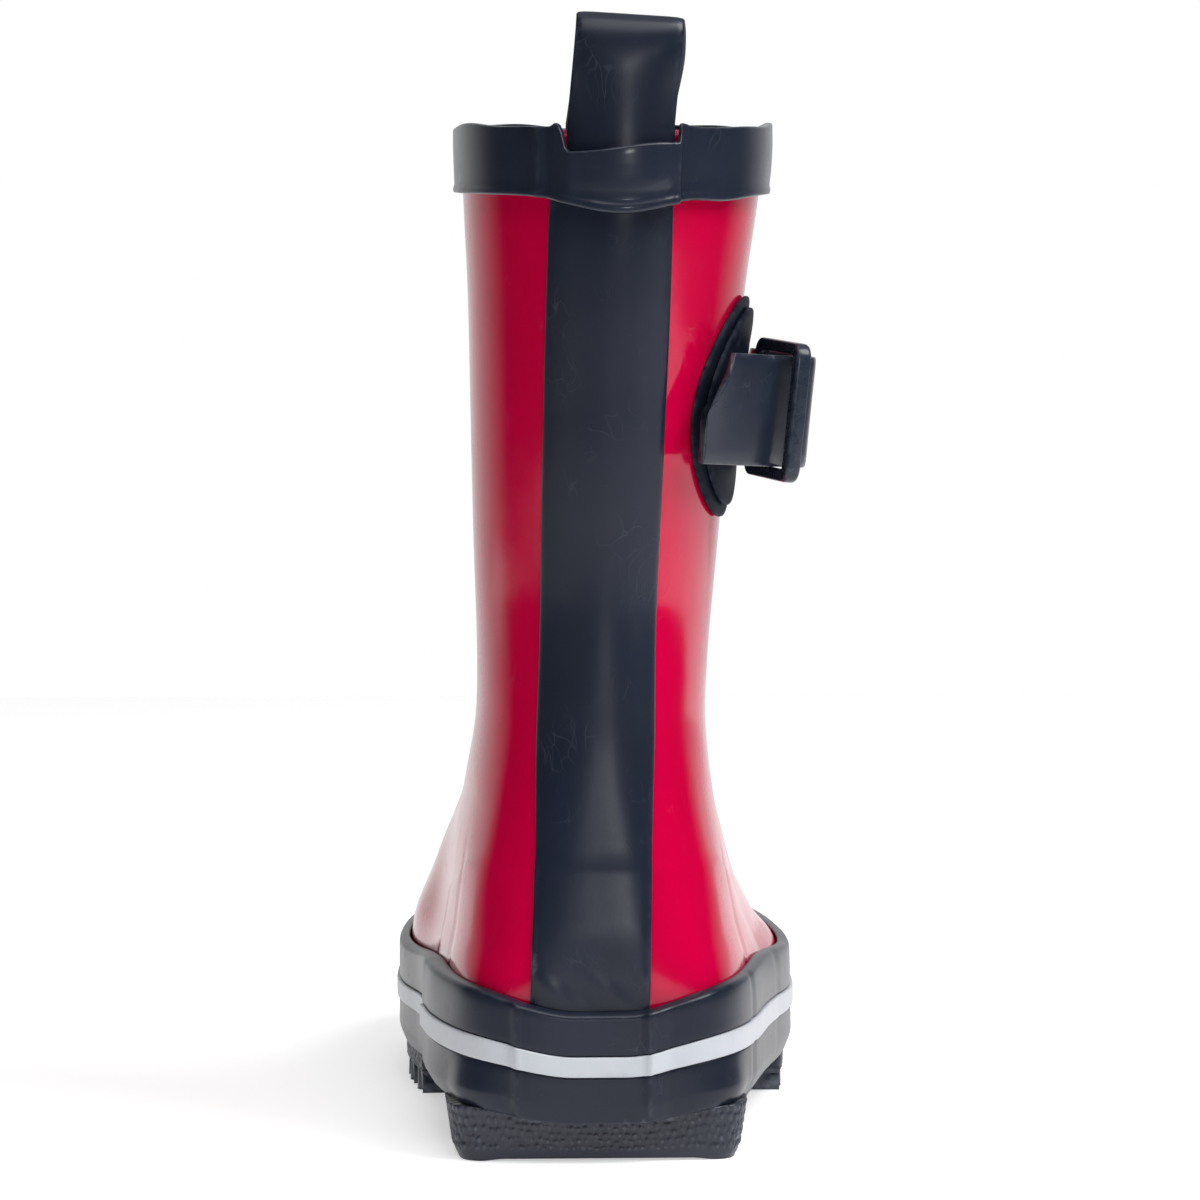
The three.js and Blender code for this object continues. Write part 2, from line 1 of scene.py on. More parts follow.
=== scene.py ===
import math
import bpy
import numpy as np
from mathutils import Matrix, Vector


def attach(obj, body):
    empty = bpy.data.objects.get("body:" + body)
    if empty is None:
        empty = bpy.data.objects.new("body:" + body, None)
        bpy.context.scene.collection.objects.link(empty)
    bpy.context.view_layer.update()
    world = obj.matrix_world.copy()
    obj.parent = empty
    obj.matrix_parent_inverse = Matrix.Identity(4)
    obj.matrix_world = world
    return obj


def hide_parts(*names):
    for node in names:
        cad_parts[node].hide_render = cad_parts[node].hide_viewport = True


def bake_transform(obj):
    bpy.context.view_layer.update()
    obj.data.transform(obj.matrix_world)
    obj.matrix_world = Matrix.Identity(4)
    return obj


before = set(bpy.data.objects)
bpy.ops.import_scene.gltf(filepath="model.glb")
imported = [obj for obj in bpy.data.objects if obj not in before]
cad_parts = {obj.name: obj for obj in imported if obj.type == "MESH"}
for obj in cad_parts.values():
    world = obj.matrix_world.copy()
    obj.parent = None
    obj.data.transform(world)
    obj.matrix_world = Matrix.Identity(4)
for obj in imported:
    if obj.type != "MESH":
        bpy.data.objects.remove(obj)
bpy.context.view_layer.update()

scene = bpy.context.scene

# Child's rain boot. Shapes are worked out in millimetres from the back of the heel, then placed
# in metres with the middle of the finished boot over the origin.
place = {"x": -3.702, "y": -101.279, "scale": 0.001}

# Outer face of the red shell: lists of height against distance, or against squareness of the plan.
shell = {
    "back": [(8, 3), (31, 3), (45, 2.8), (60, 4.2), (90, 8.2), (110, 8.6), (150, 5), (208, 0.5)],
    "front": [(8, 202), (26, 203), (36, 200), (44, 194), (52, 182), (60, 163), (70, 139),
              (82, 118), (96, 107), (115, 102), (150, 101), (208, 104)],
    "heelHalf": [(8, 31), (31, 31), (44, 29.2), (57, 27.8), (71, 25.6), (90, 24), (126, 25.7),
                 (153, 27.3), (175, 28.8), (208, 31.3)],
    "ballHalf": [(8, 41.6), (30, 41.6), (38, 38.2), (47, 34.2), (57, 31), (71, 27), (90, 24),
                 (126, 25.7), (153, 27.3), (175, 28.8), (208, 31.3)],
    "ballShift": [(8, 3.6), (30, 3.4), (38, 1.2), (57, 0.3), (208, 0)],
    "shaftShift": [(8, 0), (71, 0), (90, 0.5), (126, 1.5), (153, 2.5), (175, 3.5), (208, 4.8)],
    "heelSquare": [(8, 2.2), (31, 2.1), (60, 1.6), (90, 1.15), (115, 1), (208, 1)],
    "toeSquare": [(8, 1.4), (31, 1.35), (60, 1.1), (90, 1), (208, 1)],
    "rim": 208, "bottom": 11.6, "wall": 2.0, "waistY": 88, "waistNip": 2.4, "turns": 300, "planHeight": 12,
    "widenInner": (38, 122), "widenOuter": (-10, 130),  # lengths between which each side widens to the ball
}


def along(stations, height):  # smooth curve through the stations, never overshooting them
    zs = np.array([s[0] for s in stations], float)
    vs = np.array([s[1] for s in stations], float)
    slopes = np.diff(vs) / np.diff(zs)
    before, after = slopes[:-1], slopes[1:]
    both = before * after > 0
    total = np.where(both, before + after, 1.0)
    tangent = np.zeros(len(zs))
    tangent[1:-1] = np.where(both, 2 * before * after / total, 0.0)
    z = np.clip(height, zs[0], zs[-1])
    i = np.clip(np.searchsorted(zs, z, side="left") - 1, 0, len(zs) - 2)
    span = zs[i + 1] - zs[i]
    t = (z - zs[i]) / span
    rise = t * t * (3 - 2 * t)
    leave = t * (1 - t) ** 2 * span * tangent[i]
    arrive = t * t * (t - 1) * span * tangent[i + 1]
    return vs[i] + rise * (vs[i + 1] - vs[i]) + leave + arrive


def ramp(low, high, value):
    t = np.clip((value - low) / (high - low), 0, 1)
    return t * t * (3 - 2 * t)


def bump(centre, spread, value):
    return np.exp(-(((value - centre) / spread) ** 2))


def lengthwise(height, turn):  # distance from the back of the heel
    back, front = along(shell["back"], height), along(shell["front"], height)
    fromHeel = ((1 - np.cos(turn)) / 2) ** along(shell["heelSquare"], height)
    fromToe = ((1 + np.cos(turn)) / 2) ** along(shell["toeSquare"], height)
    return back + (front - back) * fromHeel / (fromHeel + fromToe)


def shellPoint(height, turn):  # turn: 0 at the heel, through the outer side, to pi at the toe
    height, turn = np.broadcast_arrays(np.asarray(height, float), np.asarray(turn, float))
    y = lengthwise(height, turn)
    side = np.sin(turn)
    toBall = ramp(*shell["widenInner"], y)
    widening = np.where(side < 0, toBall, ramp(*shell["widenOuter"], y))
    heel = along(shell["heelHalf"], height)
    half = heel + (along(shell["ballHalf"], height) - heel) * widening
    low = 1 - ramp(30, 80, height)
    nip = np.where(side < 0, shell["waistNip"] * low * bump(shell["waistY"], 26, y), 0)
    shift = along(shell["shaftShift"], height) + along(shell["ballShift"], height) * toBall
    return np.stack([shift + (half - nip) * side, y, height], axis=-1)


def offShell(height, turn, lift):  # a point at a distance off the shell's face, square to it
    height, turn, lift = np.broadcast_arrays(
        np.asarray(height, float), np.asarray(turn, float), np.asarray(lift, float))
    across = shellPoint(height, turn + 0.04) - shellPoint(height, turn - 0.04)
    upward = shellPoint(height + 1, turn) - shellPoint(height - 1, turn)
    normal = np.cross(across, upward)
    normal /= np.linalg.norm(normal, axis=-1, keepdims=True)
    return shellPoint(height, turn) + normal * lift[..., None]


def solveTurn(low, high, measure, shape):  # halving search for the turn where the measure is zero
    low, high = np.full(shape, low, float), np.full(shape, high, float)
    for _ in range(26):
        middle = (low + high) / 2
        below = measure(middle) < 0
        low, high = np.where(below, middle, low), np.where(below, high, middle)
    return (low + high) / 2


def backTurn(height, x):
    height, x = np.broadcast_arrays(np.asarray(height, float), np.asarray(x, float))
    return solveTurn(-1.2, 1.2, lambda turn: shellPoint(height, turn)[..., 0] - x, x.shape)


def sideX(y, z):
    y, z = np.broadcast_arrays(np.asarray(y, float), np.asarray(z, float))
    turn = solveTurn(0, math.pi, lambda turn: lengthwise(z, turn) - y, y.shape)
    return shellPoint(z, turn)[..., 0]


turns = (np.arange(shell["turns"]) + 0.5) * 2 * math.pi / shell["turns"]


def waves(p, size, seed):  # slow smooth unevenness, about -1 to 1
    a = np.sin(p[..., 0] / size + seed) * np.cos(p[..., 2] / (size * 1.3) + 2.1 * seed)
    b = np.sin(p[..., 1] / (size * 0.8) - 1.7 * seed + 0.4 * p[..., 2] / size)
    return 0.6 * a + 0.4 * b


# Mesh making

def toFrame(points):
    flat = np.asarray(points, float).reshape(-1, 3)
    return (flat + [place["x"], place["y"], 0]) * place["scale"]


def makeObject(name, points, faces, slot, nodes, body="boot"):
    mesh = bpy.data.meshes.new(name)
    mesh.from_pydata([tuple(p) for p in toFrame(points)], [], faces)
    mesh.validate()
    mesh.update()
    mesh.shade_smooth()
    piece = bpy.data.objects.new(name, mesh)
    scene.collection.objects.link(piece)
    if body:  # a piece made with no body is left unattached
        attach(piece, body)
    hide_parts(*nodes)
    return piece


def gridFaces(rows, columns, wrapRows):  # columns always close on themselves, rows do or get end caps
    faces = []
    for r in range(rows if wrapRows else rows - 1):
        nextRow = (r + 1) % rows
        for c in range(columns):
            nextColumn = (c + 1) % columns
            faces.append((r * columns + c, r * columns + nextColumn,
                          nextRow * columns + nextColumn, nextRow * columns + c))
    if not wrapRows:
        faces.append(tuple(reversed(range(columns))))
        faces.append(tuple((rows - 1) * columns + c for c in range(columns)))
    return faces


def facingOut(points, faces):  # turn the faces so that the closed piece faces outward
    p = np.asarray(points, float).reshape(-1, 3)
    volume = 0.0
    for f in faces:
        a = p[f[0]]
        for i in range(1, len(f) - 1):
            volume += float(np.dot(a, np.cross(p[f[i]], p[f[i + 1]])))
    return [tuple(reversed(f)) for f in faces] if volume < 0 else faces


def closedGrid(name, points, wrapRows, **about):  # points[row][column]
    faces = gridFaces(*points.shape[:2], wrapRows)
    return makeObject(name, points, facingOut(points, faces), **about)


def roundedLoop(corners, radius, steps):  # closed outline of (u, v) with its corners rounded
    corners = [np.array(c, float) for c in corners]
    out = []
    for i, corner in enumerate(corners):
        before, after = corners[i - 1], corners[(i + 1) % len(corners)]
        toBefore, toAfter = before - corner, after - corner
        reach = min(radius, 0.45 * np.linalg.norm(toBefore), 0.45 * np.linalg.norm(toAfter))
        a = corner + toBefore / np.linalg.norm(toBefore) * reach
        b = corner + toAfter / np.linalg.norm(toAfter) * reach
        for k in range(steps + 1):
            t = k / steps
            out.append((1 - t) ** 2 * a + 2 * t * (1 - t) * corner + t * t * b)
    return np.array(out)


def denser(outline, step):  # points added along the long runs of a closed outline
    out = []
    for i in range(len(outline)):
        a, b = outline[i], outline[(i + 1) % len(outline)]
        count = max(1, int(np.linalg.norm(b - a) / step))
        for k in range(count):
            out.append(a + (b - a) * k / count)
    return np.array(out)


# Shell and lining

relief = {
    "counter": 0.35, "counterTop": 61, "counterDrop": 18, "toeCap": 0.3, "seamDeep": 0.25, "seamY": 41,
    "heelHollow": 0.9, "ankleCrease": 0.45, "ankle": 88, "uneven": 0.16, "unevenFine": 0.05,
}
lining = {"thick": 0.8, "standOff": 2.3, "standOffFoot": 1.62, "loose": 0.12, "floor": 18.3, "top": 208.8}
footLift = -lining["standOff"] - lining["standOffFoot"]  # the lining's outer face round the footbed


def liningLift(height):
    return -lining["standOff"] - lining["standOffFoot"] * (1 - ramp(66, 84, height))


def shellRelief(height, turn):  # print-through of the counter, and the unevenness of moulded rubber
    p = shellPoint(height, turn)
    y = p[..., 1]
    fromHeel = np.abs(np.where(turn > math.pi, turn - 2 * math.pi, turn))
    counterTop = relief["counterTop"] - relief["counterDrop"] * ramp(1.0, 1.8, fromHeel)
    counter = relief["counter"] * (1 - ramp(-2.2, 1.2, height - counterTop)) * (1 - ramp(62, 70, y))
    toeCap = relief["toeCap"] * ramp(158, 164, y)
    seam = -relief["seamDeep"] * bump(relief["seamY"], 1.6, y)
    seam = seam * (1 - ramp(52, 66, height)) * ramp(30, 36, height)
    hollow = -relief["heelHollow"] * ramp(35, 54, height) * (1 - ramp(56, 92, height)) * (1 - ramp(8, 22, y))
    slope = height - relief["ankle"] - 0.25 * (y - relief["ankle"])
    crease = -relief["ankleCrease"] * bump(0, 2.4, slope) * ramp(60, 96, y)
    uneven = relief["uneven"] * waves(p, 15, 1.3) + relief["unevenFine"] * waves(p, 5.5, 4.1)
    return hollow + counter + toeCap + seam + crease + uneven


def offTop(height, turn, lift):  # as offShell, but straight up above the height where the shell's rim ends
    tall = np.minimum(height, shell["rim"] - 0.5)
    points = offShell(tall, turn, lift)
    points[..., 2] += height - tall
    return points


def levelRing(lift, height):  # one level ring at the foot's plan outline
    ring = offShell(shell["planHeight"], turns, lift)
    ring[:, 2] = height
    return ring


def makeShell():
    low, half = shell["bottom"], shell["wall"] / 2
    high = shell["rim"] - half
    outer = np.concatenate([np.linspace(low, 80, 74), np.linspace(81.5, high, 74)])
    overRim = np.linspace(0, math.pi, 7)[1:-1]
    inner = np.linspace(high, low, 50)
    heights = np.concatenate([outer, high + half * np.sin(overRim), inner])
    lifts = np.concatenate([np.zeros(len(outer)), half * (np.cos(overRim) - 1),
                            np.full(len(inner), -shell["wall"])])
    onFace = np.concatenate([np.ones(len(outer)), np.zeros(len(heights) - len(outer))])
    h, t = heights[:, None], turns[None, :]
    points = offTop(h, t, lifts[:, None] + onFace[:, None] * shellRelief(h, t))
    return closedGrid("shell", points, True, slot="red_rubber", nodes=["upper_shell"])


def makeLining():
    up = np.concatenate([np.linspace(20, 84, 44), np.linspace(86, 208.2, 40)])
    h = np.concatenate([up, up[::-1]])
    thick = np.concatenate([np.zeros(len(up)), np.full(len(up), lining["thick"])])
    h, thick, t = h[:, None], thick[:, None], turns[None, :]
    p = shellPoint(h, t)
    loose = np.where(thick > 0, lining["loose"], 0.0) * waves(p, 7, 2.2)
    points = offTop(h, t, liningLift(h) - thick + loose)
    rimRow = len(up)
    top = points[rimRow - 1:rimRow + 1].mean(axis=0)
    top[..., 2] = lining["top"] - 0.1
    under = levelRing(footLift - 0.1, lining["floor"])
    floor = levelRing(footLift - 0.1 - lining["thick"], lining["floor"] + lining["thick"])
    points = np.concatenate([under[None], points[:rimRow], top[None], points[rimRow:], floor[None]])
    return closedGrid("knitLining", points, False, slot="red_knit", nodes=["lining"])


footbed = {
    "bottom": 19.4, "thick": 3.55, "dish": 0.8, "gap": 1.4,
    "edge": ((0, 0), (0, 0.3), (0, 2.2), (0.35, 3.0), (0.9, 3.4), (2.2, 3.55)),  # inset, height
    "rings": (0.86, 0.7, 0.52, 0.34, 0.17),
}


def makeFootbed():
    lift = footLift - footbed["gap"]
    rows = [levelRing(lift - inset, footbed["bottom"] + z) for inset, z in footbed["edge"]]
    rim = rows[-1]
    middle = rim.mean(axis=0)
    for share in footbed["rings"]:
        ring = middle + (rim - middle) * share
        dish = footbed["dish"] * (1 - share ** 2)
        ring[:, 2] = footbed["bottom"] + footbed["thick"] - dish * (1 - ramp(50, 100, ring[:, 1]))
        rows.append(ring)
    return closedGrid("footbedInsole", np.array(rows), False, slot="red_knit", nodes=["footbed"])


# Foxing band and its stripe

foxing = {
    "bottom": 8.4, "top": 31.2, "thick": 3.0, "groove": 2.0, "stripeLow": 18.1, "stripeHigh": 22.4,
    "stripeFoot": 2.25, "stripeProud": 0.55, "rise": 4.4, "toeRise": 3.0, "overStrip": 1.4,
    "ridges": ((11.6, 0.7, 0.8), (-14.4, 0.8, 0.75)),  # from the back strip's middle, width, height
    "creases": ((66, 1.5, 0.5), (24, 1.2, 0.35)),  # along the outer side, width, depth
    "lap": 1.5, "lapEnd": 50.5, "corner": 1.7, "cornerX": 24.5, "uneven": 0.14,
}


def besideHeel(x, y):  # 0 at the back and under the forefoot, 1 at the heel's two sides
    return ramp(5, 27, np.abs(x)) * (1 - ramp(40, 110, y))


def bandRise(turn, height):  # the band climbs beside the heel and at the toe
    point = shellPoint(20, turn)
    heelSide = besideHeel(point[..., 0], point[..., 1])
    toe = ramp(165, 203, point[..., 1]) * ramp(foxing["stripeHigh"], foxing["top"], height)
    climb = foxing["rise"] * (0.6 + 0.4 * ramp(8, foxing["top"], height))
    return heelSide * climb + foxing["toeRise"] * toe


def bandRelief(turn, height, lift):
    p = shellPoint(20, turn)
    x, y = p[..., 0], p[..., 1]
    fromStrip = np.where(y < 60, x + 1.6, 60)
    overStrip = foxing["overStrip"] * (1 - ramp(12.4, 16.5, np.abs(fromStrip)))
    ridge = sum(high * bump(at, wide, fromStrip) for at, wide, high in foxing["ridges"])
    crease = -sum(deep * bump(at, wide, y) for at, wide, deep in foxing["creases"]) * (x > 0)
    lap = foxing["lap"] * ramp(12, 40, y) * (1 - ramp(foxing["lapEnd"], foxing["lapEnd"] + 1, y)) * (x < 0)
    corner = foxing["corner"] * bump(foxing["cornerX"], 5.5, np.abs(x))
    corner = corner * (1 - ramp(10, 20, y)) * (1 - ramp(9, 24, height))
    uneven = foxing["uneven"] * waves(offShell(height, turn, 0), 9, 0.7)
    return overStrip + ramp(0.6, 2.4, lift) * (ridge + crease + lap + corner + uneven)


def wrapBand(name, outline, **about):  # a closed (lift, height) outline taken round the boot
    lift, height = outline[:, 0][:, None], outline[:, 1][:, None]
    turn = turns[None, :]
    z = height + bandRise(turn, height)
    return closedGrid(name, offShell(z, turn, lift + bandRelief(turn, z, lift)), True, **about)


def makeFoxing():
    low, high = foxing["stripeLow"], foxing["stripeHigh"]
    inner, groove, outer = 0.45, foxing["groove"], foxing["thick"]
    corners = [(inner, foxing["bottom"]), (1.7, foxing["bottom"]), (outer + 0.1, foxing["bottom"] + 3.4),
               (outer, low), (groove, low), (groove, high), (outer, high),
               (outer - 0.1, foxing["top"] - 0.6), (inner, foxing["top"] + 0.3)]
    outline = denser(roundedLoop(corners, 0.85, 4), 1.1)
    band = wrapBand("foxingBand", outline, slot="navy_rubber", nodes=["foxing"])
    low, high = low + 0.1, high - 0.1
    inner, outer = foxing["stripeFoot"], foxing["thick"] + foxing["stripeProud"]
    outline = denser(roundedLoop([(inner, low), (outer, low), (outer, high), (inner, high)], 0.35, 3), 0.9)
    stripe = wrapBand("paleStripe", outline, slot="pale_rubber", nodes=["foxing_stripe"])
    return band, stripe


# Heel block and forefoot tread

heel = {
    "front": 64, "back": 3.7, "half": 30.6, "draft": 1.7, "square": 8, "top": 8.0, "bevel": 1.1,
    "pebblePitch": 1.55, "pebbleHigh": 0.4,
    "recess": ((0.35, 1.6), (0.86, 1.6), (0.88, 0.0)),  # share of the outline, height
    "bars": 5, "barFirst": 14, "barPitch": 9.4, "barHalf": 20.5, "firstBarHalf": 17.0, "barHigh": 1.9,
}
tread = {
    "from": 90, "until": 197, "outset": 1.1, "plate": ((8.3, -0.3), (8.5, 0.0), (11.1, 0.0), (11.3, -0.3)),
    "pad": 4.2, "padTop": 8.9, "pebblePitch": 2.2, "pebbleHigh": 0.4,
    "rows": 8, "pitch": 13.4, "lug": 8.3, "middleShift": 9, "gap": 2, "least": 3, "draft": 0.5,
}


def pebbles(s, z, pitch, seed):  # height 0 to 1 of rounded bumps scattered on a hex lattice
    best = np.zeros(np.broadcast(s, z).shape)
    rowHigh = pitch * 0.866
    row = np.floor(z / rowHigh)
    for dr in (-1, 0, 1):
        r = row + dr
        offset = (r % 2) * pitch / 2
        column = np.floor((s - offset) / pitch)
        for dc in (-1, 0, 1):
            c = column + dc
            jitter = np.sin(c * 12.9898 + r * 78.233 + seed) * 43758.5453
            jitter = jitter - np.floor(jitter)
            other = np.sin(c * 39.346 + r * 11.135 + seed * 2.3) * 24634.6345
            other = other - np.floor(other)
            cs = (c + 0.5 + 0.42 * (jitter - 0.5)) * pitch + offset
            cz = (r + 0.5 + 0.42 * (other - 0.5)) * rowHigh
            size = pitch * (0.4 + 0.14 * jitter)
            d2 = ((s - cs) ** 2 + (z - cz) ** 2) / size ** 2
            best = np.maximum(best, np.sqrt(np.clip(1 - d2, 0, 1)))
    return best


def evenSpaced(outline, step):  # closed plan outline resampled to equal steps
    closed = np.vstack([outline, outline[:1]])
    length = np.concatenate([[0], np.cumsum(np.linalg.norm(np.diff(closed, axis=0), axis=1))])
    count = int(length[-1] / step)
    s = np.arange(count) * length[-1] / count
    return np.stack([np.interp(s, length, closed[:, i]) for i in range(2)], axis=1), s


def planOutline(start, lift):  # plan outline of the sole from a distance along the boot to the toe
    steps = 1440
    ring = offShell(shell["planHeight"], np.linspace(-math.pi, math.pi, steps + 1), lift)[:, :2]
    ring = np.roll(ring[:-1], steps // 2, axis=0)
    return ring[ring[:, 1] > start]


def planNormals(outline):
    d = np.roll(outline, -2, axis=0) - np.roll(outline, 2, axis=0)
    d /= np.linalg.norm(d, axis=1, keepdims=True)
    n = np.stack([d[:, 1], -d[:, 0]], axis=1)
    outward = ((outline - outline.mean(axis=0)) * n).sum(axis=1).mean()
    return n if outward > 0 else -n


def noRise(plan):
    return np.zeros(len(plan))


def pebbledBlock(outline, rows, look, seed, step, topRise=noRise, bottomRise=noRise):
    plan, s = evenSpaced(outline, step)
    normal = planNormals(plan)
    rings = []
    for z, inset, rough in rows:
        push = look["pebbleHigh"] * pebbles(s, np.full(len(s), z), look["pebblePitch"], seed) * rough - inset
        share = z / rows[-1][0]
        height = z + topRise(plan) * share + bottomRise(plan) * (1 - share)
        rings.append(np.column_stack([plan + normal * push[:, None], height]))
    return np.array(rings)


def joined(parts):  # several point grids with end caps in one mesh
    points, faces = [], []
    for grid in parts:
        flat = grid.reshape(-1, 3)
        own = facingOut(flat, gridFaces(*grid.shape[:2], False))
        base = sum(len(p) for p in points)
        faces += [tuple(base + i for i in f) for f in own]
        points.append(flat)
    return np.concatenate(points), faces


def prism(outline, rows):  # upright block on a plan outline, each row an inset and a height
    outline = np.array(outline, float)
    normal = planNormals(outline)
    return np.array([np.column_stack([outline - normal * inset, np.full(len(outline), z)])
                     for inset, z in rows])


def lugPrism(outline, high, draft):  # standing on the ground, with a small bevel at its foot
    return prism(outline, ((draft + 0.45, 0.0), (draft, 0.4), (0.0, high)))


def makeHeelBlock():
    angle = np.linspace(-math.pi, math.pi, 1601)
    side, ahead = np.sin(angle), np.cos(angle)
    power = 2 / heel["square"]
    x = heel["half"] * np.sign(side) * np.abs(side) ** power
    y = heel["back"] + heel["front"] / 2 * (1 - np.sign(ahead) * np.abs(ahead) ** power)
    outline = np.stack([x, y], axis=1)[y < heel["front"]]
    rows = []
    for z in np.arange(0, heel["top"] + 0.01, 0.26):
        inset = heel["draft"] * (1 - z / heel["top"]) + 0.5 * (1 - ramp(0, heel["bevel"], z))
        rows.append((z, inset, ramp(1.3, 1.9, z)))

    def topRise(plan):
        return besideHeel(plan[:, 0], plan[:, 1]) * foxing["rise"] * 0.6 + 0.9

    def bottomRise(plan):  # the back edge stands a little off the ground between its corners
        return 0.5 * (1 - ramp(19, 25, np.abs(plan[:, 0]))) * (1 - ramp(5, 12, plan[:, 1]))

    block = pebbledBlock(outline, rows, heel, 3.0, 0.32, topRise, bottomRise)
    underside = block[0]
    middle = underside.mean(axis=0)
    recess = []
    for share, z in heel["recess"]:
        ring = middle + (underside - middle) * share
        ring[:, 2] = z
        recess.append(ring)
    parts = [np.concatenate([np.array(recess), block])]
    for k in range(heel["bars"]):  # cross bars inside the heel's recess
        y = heel["barFirst"] + k * heel["barPitch"]
        half = heel["barHalf"] if k else heel["firstBarHalf"]
        bar = [(-half, y), (-half / 2, y + 1.6), (0, y), (half / 2, y + 1.6), (half, y),
               (half, y + 4.6), (half / 2, y + 6.2), (0, y + 4.6), (-half / 2, y + 6.2), (-half, y + 4.6)]
        parts.append(lugPrism(bar, heel["barHigh"], 0.3))
    points, faces = joined(parts)
    return makeObject("heelBlock", points, faces, slot="navy_rubber", nodes=["heel_block"])


def makeTread():
    parts = [np.array([levelRing(lift, z) for z, lift in tread["plate"]])]
    pad = tread["pad"]
    rows = [(z, 0.5 * (1 - ramp(pad, pad + 0.8, z)), ramp(pad + 0.4, pad + 1.0, z))
            for z in np.arange(pad, tread["padTop"], 0.3)]
    parts.append(pebbledBlock(planOutline(tread["from"], tread["outset"]), rows, tread, 5.0, 0.5))
    for k in range(tread["rows"]):
        start = tread["from"] + 2 + k * tread["pitch"]
        split = tread["middleShift"] if k % 2 else 0
        for side, low in ((-1, start), (1, start + 1.5)):
            inner = split + side * tread["gap"]
            high = min(low + tread["lug"], tread["until"])
            if high - low < tread["least"]:
                continue
            edge = planOutline(low - 12, tread["outset"] - 0.2)
            edge = edge[np.sign(edge[:, 0] - 2) == side]
            edge = edge[np.argsort(edge[:, 1])]
            outer = [(np.interp(y, edge[:, 1], edge[:, 0]), y) for y in np.linspace(low, high, 7)]
            if min(abs(x - inner) for x, y in outer) < tread["least"]:
                continue
            lug = outer + [(inner, high + 2.0), (inner + side * 3, low + 2.0)]
            parts.append(lugPrism(lug, pad + 0.6, tread["draft"]))
    points, faces = joined(parts)
    return makeObject("forefootTread", points, faces, slot="navy_rubber", nodes=["outsole"])


# Back strip, rim binding and pull loop

strip = {"half": 12.0, "waist": 0.7, "under": 0.3, "glue": 0.35, "thick": 0.95, "low": 13.0, "high": 196.0,
         "pucker": 0.3}
binding = {
    "low": 195.8, "high": 209.6, "foot": 0.3, "thick": 1.5, "hem": 0.25, "tent": 2.4, "dip": 3.3,
    "lipDrop": 4.2, "lap": 0.8,
    "folds": ((9.9, 0.5, 0.5), (11.9, 0.6, 0.4), (10.9, 0.5, -0.35)),  # from the loop's middle, width, height
    "panel": 0.35, "sag": 1.1, "uneven": 0.16,
}
loop = {
    "x": 4.3, "half": 10.8, "thick": 1.7, "base": 210.0, "rise": 21.0, "outerLift": 1.2, "innerDepth": 5.45,
    "outerEnd": 195.5, "innerEnd": 190, "lean": 0.09, "belly": 0.35, "twist": 0.35,
}


def stripCentre(height):  # the strip leans to the outer side on its way up
    return -1.9 + 4.4 * (height - 30) / 165


def makeBackStrip():
    heights = np.concatenate([np.linspace(strip["low"], 60, 40), np.linspace(62, strip["high"], 60)])
    low, high = strip["under"], strip["glue"] + strip["thick"]
    half = strip["half"] - strip["waist"] * bump(108, 34, heights)
    section = denser(roundedLoop([(-1, low), (1, low), (1, high), (-1, high)], 0.38, 3), 0.06)
    u, lift = section[:, 0][None, :], section[:, 1][None, :]
    x = stripCentre(heights)[:, None] + u * half[:, None]
    h = heights[:, None] * np.ones_like(x)
    turn = backTurn(h, x)
    edge = -0.22 * bump(1, 0.05, np.abs(u))
    pucker = strip["pucker"] * bump(35.5, 3.2, h) * np.sin(u * 7 + 1.0 + 0.5 * h) * (np.abs(u) < 0.98)
    dent = -0.25 * bump(197, 5, h) - 0.048 * np.sin(h / 7.5) * ramp(60, 90, h)
    wavy = 0.12 * waves(shellPoint(h, turn), 13, 2.4)
    top = (lift > 0.6) * (edge + pucker + dent + wavy)
    points = offShell(h, turn, lift + top + shellRelief(h, turn))
    return closedGrid("backStrip", points, False, slot="navy_rubber", nodes=["back_strip"])


def bindingDip(x):  # how far the lower edge hangs below the loop
    return binding["dip"] * bump(0, 10.5, x)


def bindingRelief(turn, height, lift):
    p = shellPoint(200, turn)
    x, y = p[..., 0] - loop["x"], p[..., 1]
    tent = ramp(-14.2, -9.4, x) * (1 - ramp(9.2, 12.0, x))
    out = ramp(0.5, 1.6, lift)
    lap = binding["lap"] * ramp(-17.0, -14.6, x) * (1 - ramp(-14.5, -14.1, x))
    folds = sum(high * bump(at, wide, x) for at, wide, high in binding["folds"])
    panel = binding["panel"] * (1 - ramp(7.8, 9.6, np.abs(x + 0.2))) * ramp(195.6, 198.6, height - 0.06 * x)
    aboveEdge = height - binding["low"] + bindingDip(x)
    hem = binding["hem"] * ramp(2.0, 0.0, aboveEdge - 1.2)
    uneven = 0.2 * np.sin(x / 4.3 + 0.8) * bump(200, 9, height) + binding["uneven"] * waves(p, 8, 3.0)
    atBack = binding["tent"] * tent + out * (lap + folds + panel + hem)
    return np.where(y < 40, atBack, 0) + out * uneven


